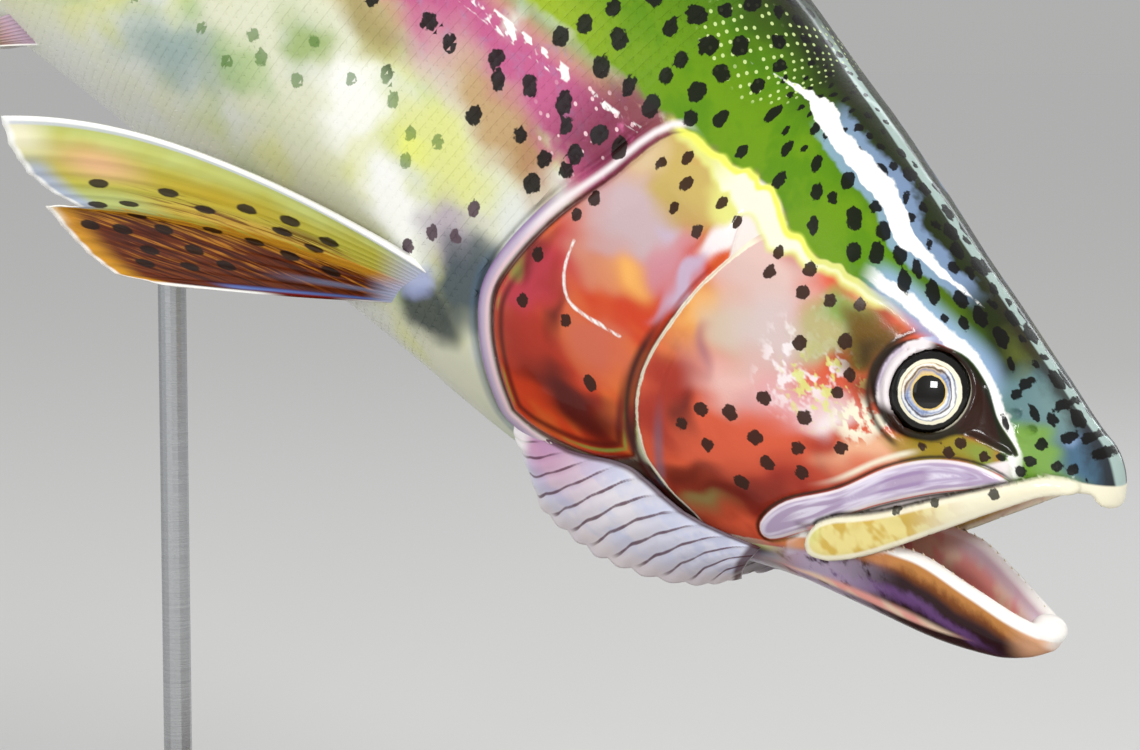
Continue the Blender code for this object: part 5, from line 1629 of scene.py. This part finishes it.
low = p.coat(tube(206, 146, 40), tube(104, 46, 14), p.step(streaky, 0.50, 0.62), p.step(v, 0.98, 0.88))
low.brush(tube(62, 24, 12), p.step(wisp, 0.46, 0.6), p.step(streaky, 0.5, 0.7), p.step(v, 0.97, 0.8), 0.9)
low.brush(tube(196, 128, 40), p.step(wisp, 0.46, 0.36), p.step(s, 0.9, 0.7), 0.75)
low.brush(tube(120, 130, 160), p.band(s, 0.78, 0.05), p.step(v, 0.5, 0.25), 0.8)
low.brush(CREAM, p.step(v, 0.95, 1.0), p.step(s, 0.66, 0.56), 0.85)
fin_colour = p.coat(upper, low, p.step(p.sum(streaky, p.times(v, -0.10)), 0.36, 0.42))
reach = p.times(p.band(s, 0.34, 0.14), p.step(v, 0.1, 0.3), p.step(v, 0.85, 0.6))
fin_colour.brush(tube(92, 44, 14), p.step(wisp, 0.50, 0.57), reach, 0.85)
fin_colour.brush(tube(32, 16, 8), p.step(p.sum(p.note("fan_spots", 0), p.times(haze, 0.2)), 0.1, 0.35),
                 0.94)
fin_colour.brush(tube(92, 124, 196), p.band(s, 0.93, 0.045), p.step(v, 0.72, 0.6), p.step(v, 0.0, 0.08),
                 0.85)
fin_colour.brush(tube(124, 22, 14), p.band(s, 0.97, 0.03), p.step(v, 0.15, 0.3), p.step(v, 0.62, 0.5), 0.9)
fin_colour.brush(PALE, p.step(s, 0.955, 0.98), p.most(p.step(v, 0.45, 0.6), p.step(v, 0.3, 0.1)))
fin_colour.brush(tube(196, 204, 236), p.step(v, 0.15, 0.03), 0.9)
fin_colour.brush(tube(206, 214, 226), p.step(s, 0.036, 0.026), 0.85)
fin_colour.brush(PALE, p.step(s, 0.022, 0.014))
fin_colour.brush(PALE, p.step(v, 0.975, 0.99), 0.85)
p.feed("Base Color", fin_colour.top)
print("pectoral finish:", len(pectoral_finish.node_tree.nodes), "nodes")

# %% Finishes of the other fins
lower_finish, p = finish("lower_fin_skin", WET | {"Roughness": 0.42})
s, v, ribs = (p.note("fan", k) for k in range(3))
haze = p.noise(p.note("flat"), 0.10, 2.5, 0.55)
lower = p.coat(tube(196, 120, 84), tube(150, 140, 60), p.step(haze, 0.4, 0.62))
lower.brush(tube(122, 70, 48), p.step(ribs, 0.5, 0.1), 0.5)
lower.brush(LILAC, p.step(v, 0.3, 0.05), 0.8)
lower.brush(PALE, p.most(p.step(s, 0.09, 0.04), p.times(p.step(v, 0.9, 0.99), p.step(s, 0.5, 0.2))), 0.95)
p.feed("Base Color", lower.top)

upper_finish, p = finish("upper_fin_skin", WET | {"Roughness": 0.42})
s, v, ribs = (p.note("fan", k) for k in range(3))
flat = p.note("flat")
haze = p.noise(flat, 0.08, 2.5, 0.55)
olive = p.coat(tube(128, 140, 44), tube(86, 98, 40), p.step(haze, 0.4, 0.62))
olive.brush(tube(176, 160, 84), p.step(ribs, 0.4, 0.95), 0.55)
olive.brush(ROSE, p.step(v, 0.85, 1.0), 0.25)
dot = p.times(p.dots(p.shaken(p.scaled(flat, (0.155, 0.125, 1)), 0.25, 3.0), 1.0, 0.15, 0.33, 0.8, "2D"),
              p.step(v, 0.04, 0.1))
olive.brush(INK, dot, 0.92)
p.feed("Base Color", olive.top)
finish_of_fin = {"pectoral": pectoral_finish, "pelvic": lower_finish, "anal": lower_finish}
for key, piece in fins.items():
    piece.data.materials.append(finish_of_fin.get(key.split("_")[0], upper_finish))
print("fins painted at", round(time.time() - started, 1), "s")

# %% [markdown]
# ## Gill membranes
# Below the cover hangs a fan of skin on slender bony rays, which spreads when the fish
# gapes. It is made like a fin, but deeply pleated, with a scalloped hem.

# %% Membrane shape
MEMBRANE_ROOT = [(68, 22.5, -34), (84, 24.5, -35), (98, 25.5, -33), (112, 24.0, -41), (124, 20.5, -47)]
MEMBRANE_EDGE = [(75.5, 10.0, -48.0), (83.5, 9.6, -55.0), (94.5, 10.5, -60.6), (103.5, 11.7, -63.2),
    (111.5, 13.5, -62.6), (119.5, 16.5, -53.5)]
MEMBRANE_RAYS, SWEEP = 11, 0.34


def smooth_rows(points, share):
    """Places at these shares of a smooth curve through the points."""
    at = np.linspace(0, 1, len(points))
    return np.stack([smooth_curve(list(zip(at, [q[k] for q in points])))(share) for k in range(3)], -1)


def membrane(name, side):
    """One pleated fan of skin, swept back from its root."""
    across, along = 200, 44
    share = np.linspace(0, 1, across)
    v = np.linspace(0, 1, along)
    swept = share[:, None] - SWEEP * v[None, :] ** 0.85
    fold = (swept * MEMBRANE_RAYS) % 1.0
    hem = 1.0 + 0.045 * np.sin(math.pi * fold[:, -1]) - 0.03
    root, edge = smooth_rows(MEMBRANE_ROOT, share), smooth_rows(MEMBRANE_EDGE, share)
    t = v[None, :, None] * hem[:, None, None]
    grid = root[:, None] * (1 - t) + edge[:, None] * t
    bow = 2.6 * np.sin(math.pi * np.clip(t[..., 0], 0, 1))
    pleat = (0.6 * np.sin(math.pi * fold) - 0.2) * rise(v, 0.05, 0.6)[None, :]
    spine = 0.3 * np.exp(-((np.minimum(fold, 1 - fold)) / 0.09) ** 2) * (1 - 0.5 * v)[None, :]
    grid[..., 1] += bow + pleat + spine
    grid = grid * [1, side, 1]
    under = grid - np.array([0, side * 0.7, 0])
    points, faces = sheet(grid, under)
    fan = np.stack(np.broadcast_arrays(share[:, None], v[None, :], np.minimum(fold, 1 - fold)),
                   -1).reshape(-1, 3)
    return add_piece(f"gill_fan_{name}", points, faces, [f"gill_membrane_{name}"],
                     {"fan": np.concatenate([fan, fan]), "place": points})


fan_finish, p = finish("gill_fan_skin", WET | {"Roughness": 0.4})
s, v, fold = (p.note("fan", k) for k in range(3))
haze = p.noise(p.note("place"), 0.11, 3.0, 0.55)
fan_paint = p.coat(tube(224, 228, 252), tube(248, 244, 252), p.step(haze, 0.4, 0.6))
fan_paint.brush(tube(196, 124, 170), p.step(s, 0.5, 0.85), p.step(v, 0.8, 0.2), 0.8)
fan_paint.brush(tube(186, 198, 238), p.step(s, 0.5, 0.2), p.step(haze, 0.46, 0.58), 0.6)
fan_paint.brush(CHALK, p.step(v, 0.6, 0.95), 0.8)
wobble = p.sum(fold, p.stray(0.08, p.note("place"), 0.3, 2.0))
fan_paint.brush(tube(84, 30, 58), p.step(wobble, 0.10, 0.045), p.step(v, 0.97, 0.8), p.step(v, 0.02, 0.2),
                0.85)
fan_paint.brush(PALE, p.step(s, 0.88, 0.95), p.step(v, 0.9, 0.5), 0.8)
fan_paint.brush(tube(70, 22, 28), p.step(v, 0.07, 0.02), p.step(s, 0.93, 0.85), 0.85)
fan_paint.brush(tube(70, 22, 28), p.step(s, 0.045, 0.02), 0.85)
p.feed("Base Color", fan_paint.top)
for name, sign in (("right", 1), ("left", -1)):
    membrane(name, sign).data.materials.append(fan_finish)
print("gill fans made")

# %% [markdown]
# ## Tongue and teeth
# The open mouth shows a blunt tongue and rows of small, back-curved teeth. Each tooth is
# a bent cone, and all of them make one mesh.


# %% Tongue
def tongue_rings():
    """Rings of the tongue, from its blunt tip back, with a shallow groove on top."""
    rows = []
    turns = np.linspace(0, 2 * math.pi, 40, endpoint=False)
    for t in np.linspace(0.004, 1, 34):
        x = 25 + 40.0 * t
        full = math.sqrt(max(0.0, 1 - (1 - min(1, t / 0.35)) ** 2))
        half, thick, middle = 6.9 * full, 2.6 * full, -32.6 + 1.2 * t
        dip = 0.7 * full * np.exp(-(np.sin(turns) / 0.25) ** 2) * (np.cos(turns) > 0)
        y, z = half * np.sin(turns), middle + thick * np.cos(turns) - dip
        rows.append(np.stack([x + 0 * turns, y, z], -1))
    return np.concatenate(rows), len(turns), len(rows)


points, around, count = tongue_rings()
quads = [quad[:1] + quad[:0:-1] for quad in tube_quads(count, around)]
caps = [list(range(around)), [(count - 1) * around + k for k in range(around)][::-1]]
tongue = add_piece("tongue_flesh", points, quads, ["tongue"], {"place": points}, caps)
tongue_finish, p = finish("tongue_flesh", {"Coat Weight": 0.8, "Coat Roughness": 0.1, "Roughness": 0.4})
p.feed("Base Color", p.over(FLESH, PEACH, p.step(p.noise(p.note("place"), 0.25, 3.0), 0.4, 0.62)))
p.bumps(p.noise(p.note("place"), 1.4, 2.0), 0.35, 0.0006)
tongue.data.materials.append(tongue_finish)
print("tongue made")


# %% Teeth
def one_tooth(foot, height, lean, up):
    """A bent cone, leaning back towards the throat."""
    rows = []
    for t in np.linspace(0, 1, TOOTH_RINGS):
        wide = 0.62 * (1 - t) ** 0.8 + 0.03
        for k in range(TOOTH_SIDES):
            a = 2 * math.pi * k / TOOTH_SIDES
            rows.append((foot[0] + wide * math.cos(a) + lean * t * t * height, foot[1] + wide * math.sin(a),
                         foot[2] + up * (t * height - 0.6)))
    return rows, tube_quads(TOOTH_RINGS, TOOTH_SIDES)


TOOTH_RINGS, TOOTH_SIDES, TEETH_IN_ROW = 5, 7, 17
feet = [(x, float(jaw_width(x)) - 1.7, float(jaw_rim(x)) + 0.9, 1)
        for x in np.linspace(14, 52, TEETH_IN_ROW)]
feet += [(x, float(side_y(x, lip_line(x))) - 3.4, float(lip_line(x)) + 0.6, -1)
         for x in np.linspace(9, 50, TEETH_IN_ROW)]
tooth_points, tooth_quads = [], []
for x, out, z, up in feet:
    for sign in (1, -1):
        rows, quads = one_tooth((x, sign * out, z), *((1.5, 0.5) if up > 0 else (1.9, 0.6)), up)
        tooth_quads += [tuple(i + len(tooth_points) for i in q[::up]) for q in quads]
        tooth_points += rows
teeth = add_piece("teeth", np.array(tooth_points), tooth_quads, (),
                  {"place": np.array(tooth_points)})
tooth_finish, p = finish("tooth_ivory", {"Roughness": 0.25, "Coat Weight": 0.5, "Coat Roughness": 0.08})
p.feed("Base Color", p.over(CREAM, tube(214, 196, 150), p.noise(p.note("place"), 0.8, 2.0)))
teeth.data.materials.append(tooth_finish)
print("teeth:", 2 * len(feet))


# %% [markdown]
# ## Scales
# Trout scales are tiny: about a hundred and twenty rows from the gill cover to the tail.
# Each one here is a real, thin, rounded plate, tucked under the one in front and lifted a
# hair at its free edge, so the flank glitters when the light rakes it. They are built in
# bulk from one pattern with array arithmetic, which makes thousands in a moment.

# %% Places of the scales
ROW_STEP, COLUMN_STEP = 2.7, 2.35
SCALE_START = 141.0


def scale_roots():
    """x, signed turn angle and size of every scale, in staggered rows."""
    found = []
    for number, x in enumerate(np.arange(SCALE_START, STANDARD_LENGTH - 2, ROW_STEP)):
        total = float(arc_round(np.array([x]), np.array([math.pi - 1e-6]))[0])
        count = max(6, round(total / COLUMN_STEP))
        share = (np.arange(count) + 0.5 * (number % 2)) / count
        arcs = arc_round(np.full(ARC_TURNS + 1, x), ARC_ANGLES)
        angles = np.interp(share * total, arcs, ARC_ANGLES)
        for sign in (1, -1):
            for a in angles:
                if sign < 0 and a < 1e-6:
                    continue
                found.append((x, sign * a, total / count))
    return np.array(found)


roots = scale_roots()
rx, ra = roots[:, 0], roots[:, 1]
ry, rz = section_point(rx, np.abs(ra))
cover_depth = depth_in(COVER, rx, rz)
roots = roots[(cover_depth < -6.2) & (fin_lobe(rx, ry, rz) > 1.4) & (rx >= 141.5)]
print("scales:", len(roots))

# %% One scale's pattern, and all scales at once
RIM = 8
rim_turn = np.linspace(-0.62 * math.pi, 0.62 * math.pi, RIM)
PATTERN_X = np.concatenate([[0.1], np.cos(rim_turn) * 2.0 + 0.3])
PATTERN_A = np.concatenate([[0.0], np.sin(rim_turn) * 1.40])
LIFT = np.concatenate([[0.135], 0.07 + 0.036 * (np.cos(rim_turn) + 0.6)])


def scale_mesh(roots):
    """The points of every scale, 17 each: the domed top, then the rim's underside."""
    x0, angle0, size = (roots[:, k][:, None] for k in range(3))
    sign = np.sign(angle0 + 1e-12)
    width = size / COLUMN_STEP
    jitter = (np.sin(x0 * 12.9898 + angle0 * 78.233) * 43758.5453) % 1.0
    x = x0 + PATTERN_X[None, :] * (0.97 + 0.06 * jitter)
    sx = np.clip(roots[:, 0], 0, 559)
    e = 0.02
    y2, z2 = section_point(sx, np.clip(np.abs(roots[:, 1]) + e, 0, math.pi))
    y0, z0 = section_point(sx, np.clip(np.abs(roots[:, 1]) - e, 0, math.pi))
    per_turn = (np.hypot(y2 - y0, z2 - z0) / (2 * e))[:, None]
    angle = np.abs(angle0) + PATTERN_A[None, :] * width / np.maximum(per_turn, 1e-3)
    lift = LIFT[None, :] * (0.9 + 0.25 * jitter)

    def placed(x, angle, grow):
        y, z = section_point(x, angle, grow)
        return np.stack([x, sign * y, z], -1)
    flat = -COAT_DEPTH
    top = placed(x, angle, flat + lift)
    under = placed(x[:, 1:], angle[:, 1:], flat - 0.05)
    return np.concatenate([top, under], 1)


fan_faces = [(0, k, k + 1) for k in range(1, RIM)] + [(0, RIM, 1)]
skirt_faces = []
for k in range(1, RIM + 1):
    nxt = k % RIM + 1
    skirt_faces += [(k, k + RIM, nxt + RIM), (k, nxt + RIM, nxt)]
base_faces = [(RIM + 1, RIM + 1 + k + 1, RIM + 1 + k) for k in range(1, RIM - 1)]
pattern = np.array(fan_faces + skirt_faces + base_faces)
print("triangles per scale:", len(pattern))

# %% Bake patches, and the coat in parts under 200,000 triangles
PATCH = 0.003                       # size of one scale's patch on the bake map
COAT_LIMIT = 190000                 # triangles in one part of the coat


def add_coat(name, roots):
    """One part of the coat, with its bake map: a tiny patch for every scale."""
    points = scale_mesh(roots)
    count, per = points.shape[:2]
    right = roots[:, 1] >= 0
    faces = pattern[None] + (np.arange(count) * per)[:, None, None]
    faces[right] = faces[right][:, :, ::-1]
    flat_points = points.reshape(-1, 3)
    piece = add_piece(name, flat_points, faces.reshape(-1, 3), (), colour_notes(flat_points))
    u = 0.02 + 0.96 * (roots[:, 0] - 130) / 430
    v = 0.5 + 0.48 * roots[:, 1] / math.pi
    off_x = np.concatenate([PATTERN_X, PATTERN_X[1:]]) / 5.0
    off_a = np.concatenate([PATTERN_A, PATTERN_A[1:]]) / 4.0
    patch = np.stack([u[:, None] + off_x * PATCH, v[:, None] + off_a * PATCH], -1).reshape(-1, 2)
    layer = piece.data.uv_layers.new(name="OFBake")
    loops = np.zeros(len(piece.data.loops), np.int32)
    piece.data.loops.foreach_get("vertex_index", loops)
    layer.data.foreach_set("uv", patch[loops].astype(np.float32).ravel())
    ends = np.zeros(len(piece.data.edges) * 2, np.int32)
    piece.data.edges.foreach_get("vertices", ends)
    spoke = ends.reshape(-1, 2) % per
    crisp = ((spoke >= 1) & (spoke <= RIM)).all(axis=1)      # a scale's rim, not its middle
    piece.data.attributes.new("sharp_edge", "BOOLEAN", "EDGE").data.foreach_set("value", crisp)
    piece.data.materials.append(scale_finish)
    return piece


scale_finish, p = finish("trout_scales", WET | {"IOR": 1.4, "Specular IOR Level": 0.25})
marks = p.put("ShaderNodeGroup", node_tree=markings)
p.feed("Base Color", marks.outputs["Colour"])
p.feed("Roughness", p.step(marks.outputs["Shine"], 0, 1, 0.26, 0.42))
order = np.argsort(roots[:, 0], kind="stable")
roots = roots[order]
parts = max(1, math.ceil(len(roots) * len(pattern) / COAT_LIMIT))
coat_triangles = 0
for part, chunk in enumerate(np.array_split(roots, parts)):
    coat = add_coat(f"scales_{part + 1}", chunk)
    coat_triangles += len(coat.data.polygons)
print("coat:", parts, "pieces,", coat_triangles, "triangles at", round(time.time() - started, 1), "s")


# %% [markdown]
# ## The stand
# A plain wooden base and two steel rods hold the fish. The solid model already has their
# exact shapes, so they only need their finishes: long grain that follows the board, and a
# fine brushed bump round the rods.

# %% Wood and steel
wood, p = finish("dark_oiled_wood", {"Roughness": 0.4, "Coat Weight": 0.25, "Coat Roughness": 0.25})
here = p.put("ShaderNodeTexCoord").outputs["Object"]
rings = p.noise(p.scaled(here, (3.0, 42.0, 42.0)), 1.0, 4.0, 0.6, 0.8)
pores = p.noise(p.scaled(here, (30.0, 900.0, 900.0)), 1.0, 2.0)
grain = p.over(tube(112, 70, 42), tube(60, 34, 20), p.step(rings, 0.38, 0.62))
p.feed("Base Color", p.over(grain, tube(38, 22, 14), p.times(p.step(pores, 0.58, 0.7), 0.6)))
p.bumps(p.sum(rings, p.times(pores, 0.5)), 0.15, 0.0005)

steel, p = finish("brushed_steel", {"Metallic": 1.0})
here = p.put("ShaderNodeTexCoord").outputs["Object"]
lines = p.noise(p.scaled(here, (60.0, 60.0, 4000.0)), 1.0, 2.0)
p.feed("Base Color", p.over(tube(196, 198, 200), tube(168, 170, 174), lines))
p.feed("Roughness", p.step(lines, 0.2, 0.8, 0.22, 0.36))
p.bumps(lines, 0.06, 0.0002)

for node, finish_of in (("stand_base", wood), ("stand_rod_front", steel), ("stand_rod_rear", steel),
                        ("stand_collar_front", steel), ("stand_collar_rear", steel)):
    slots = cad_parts[node].data.materials
    slots.clear()
    slots.append(finish_of)
print("stand finished")


# %% [markdown]
# ## Camera, light and floor
# The camera stands level with the head, a little above it, and a long lens keeps the
# head's proportions true. A big soft lamp from above and to the front does most of the
# work, a narrow one behind gives the wet back its edge, and the floor is plain so that
# its light fills the belly.

# %% Camera
CAMERA_LOOKS_AT = Vector((0.0589, -0.0895, 0.1771))
CAMERA_DISTANCE, CAMERA_HEIGHT_DEG = 0.669, 6.0
height = math.radians(CAMERA_HEIGHT_DEG)
camera_data = bpy.data.cameras.new("camera")
camera_data.sensor_width, camera_data.lens = 36.0, 100.0
camera_data.clip_start, camera_data.clip_end = 0.01, 60.0
camera = bpy.data.objects.new("camera", camera_data)
camera.location = CAMERA_LOOKS_AT + Vector((0, -math.cos(height), math.sin(height))) * CAMERA_DISTANCE
camera.rotation_mode = "QUATERNION"
camera.rotation_quaternion = (CAMERA_LOOKS_AT - camera.location).to_track_quat("-Z", "Y")
bpy.context.scene.collection.objects.link(camera)
bpy.context.scene.camera = camera
print("camera at", [round(v, 3) for v in camera.location])


# %% Lamps, world and floor
def soft_lamp(name, place, aim, size, power, colour):
    """A flat lamp that looks at a place."""
    data = bpy.data.lights.new(name, "AREA")
    data.shape, data.size, data.size_y = "RECTANGLE", size[0], size[1]
    data.energy, data.color = power, colour
    lamp = bpy.data.objects.new(name, data)
    lamp.location = place
    lamp.rotation_mode = "QUATERNION"
    lamp.rotation_quaternion = (Vector(aim) - Vector(place)).to_track_quat("-Z", "Y")
    bpy.context.scene.collection.objects.link(lamp)
    return lamp


MIDDLE = (0.0, -0.02, 0.24)
key = soft_lamp("key", (0.75, -1.25, 1.45), MIDDLE, (0.9, 0.6), 17.0, (1.0, 0.98, 0.94))
key.visible_glossy = False          # its mirror image would hide the snout's colours
soft_lamp("fill", (-1.6, -1.0, 0.7), MIDDLE, (1.4, 1.0), 5.0, (0.90, 0.95, 1.0))
soft_lamp("rim", (0.9, 0.9, 0.75), MIDDLE, (0.10, 1.1), 2.0, (0.92, 0.98, 1.0))

eye_at, eye_front = (Vector(point) for point in lay([EYE_CENTRE, EYE_CENTRE + facing * 20.0]))
eye_faces = ((eye_front - eye_at).normalized() + Vector((0.06, 0.0, 0.07))).normalized()
to_camera = (camera.location - eye_at).normalized()
bounce = 2 * eye_faces.dot(to_camera) * eye_faces - to_camera
soft_lamp("catch_light", eye_at + bounce * 1.1, eye_at, (0.15, 0.13), 2.6, (1.0, 1.0, 1.0))

world = bpy.data.worlds.new("studio")
world.use_nodes = True
sky = Paint(world.node_tree)
up = sky.put("ShaderNodeSeparateXYZ", [sky.put("ShaderNodeTexCoord").outputs["Generated"]]).outputs["Z"]
shade = sky.over((0.575, 0.575, 0.57, 1), (0.81, 0.81, 0.82, 1),
                 sky.put("ShaderNodeMapRange", [up, 0.0, 1.0, 0.0, 1.0]).outputs[0])
sky.links.new(shade, world.node_tree.nodes["Background"].inputs["Color"])
world.node_tree.nodes["Background"].inputs["Strength"].default_value = 0.75
bpy.context.scene.world = world
bpy.context.scene.view_settings.view_transform = "Standard"

floor_mesh = bpy.data.meshes.new("floor")
bm = bmesh.new()
bmesh.ops.create_grid(bm, x_segments=8, y_segments=8, size=25.0)
bm.to_mesh(floor_mesh)
bm.free()
floor = bpy.data.objects.new("floor", floor_mesh)
bpy.context.scene.collection.objects.link(floor)
floor_mesh.materials.append(finish("pale_floor", {"Base Color": (0.78, 0.78, 0.77, 1), "Roughness": 0.9,
                                                   "Specular IOR Level": 0.0})[0])
floor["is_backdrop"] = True
print("lamps:", len(bpy.data.lights))

# %% [markdown]
# ## The size, and finish
# The dressed fish has to keep the solid model's size, so both boxes are printed side by side.

# %% Sizes and finish
made_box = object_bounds()
for axis in range(3):
    edges = (cad_box[0][axis], made_box[0][axis], made_box[1][axis], cad_box[1][axis])
    print("xyz"[axis], [round(v * 1000, 1) for v in edges])
print("made in", round(time.time() - started, 1), "s")
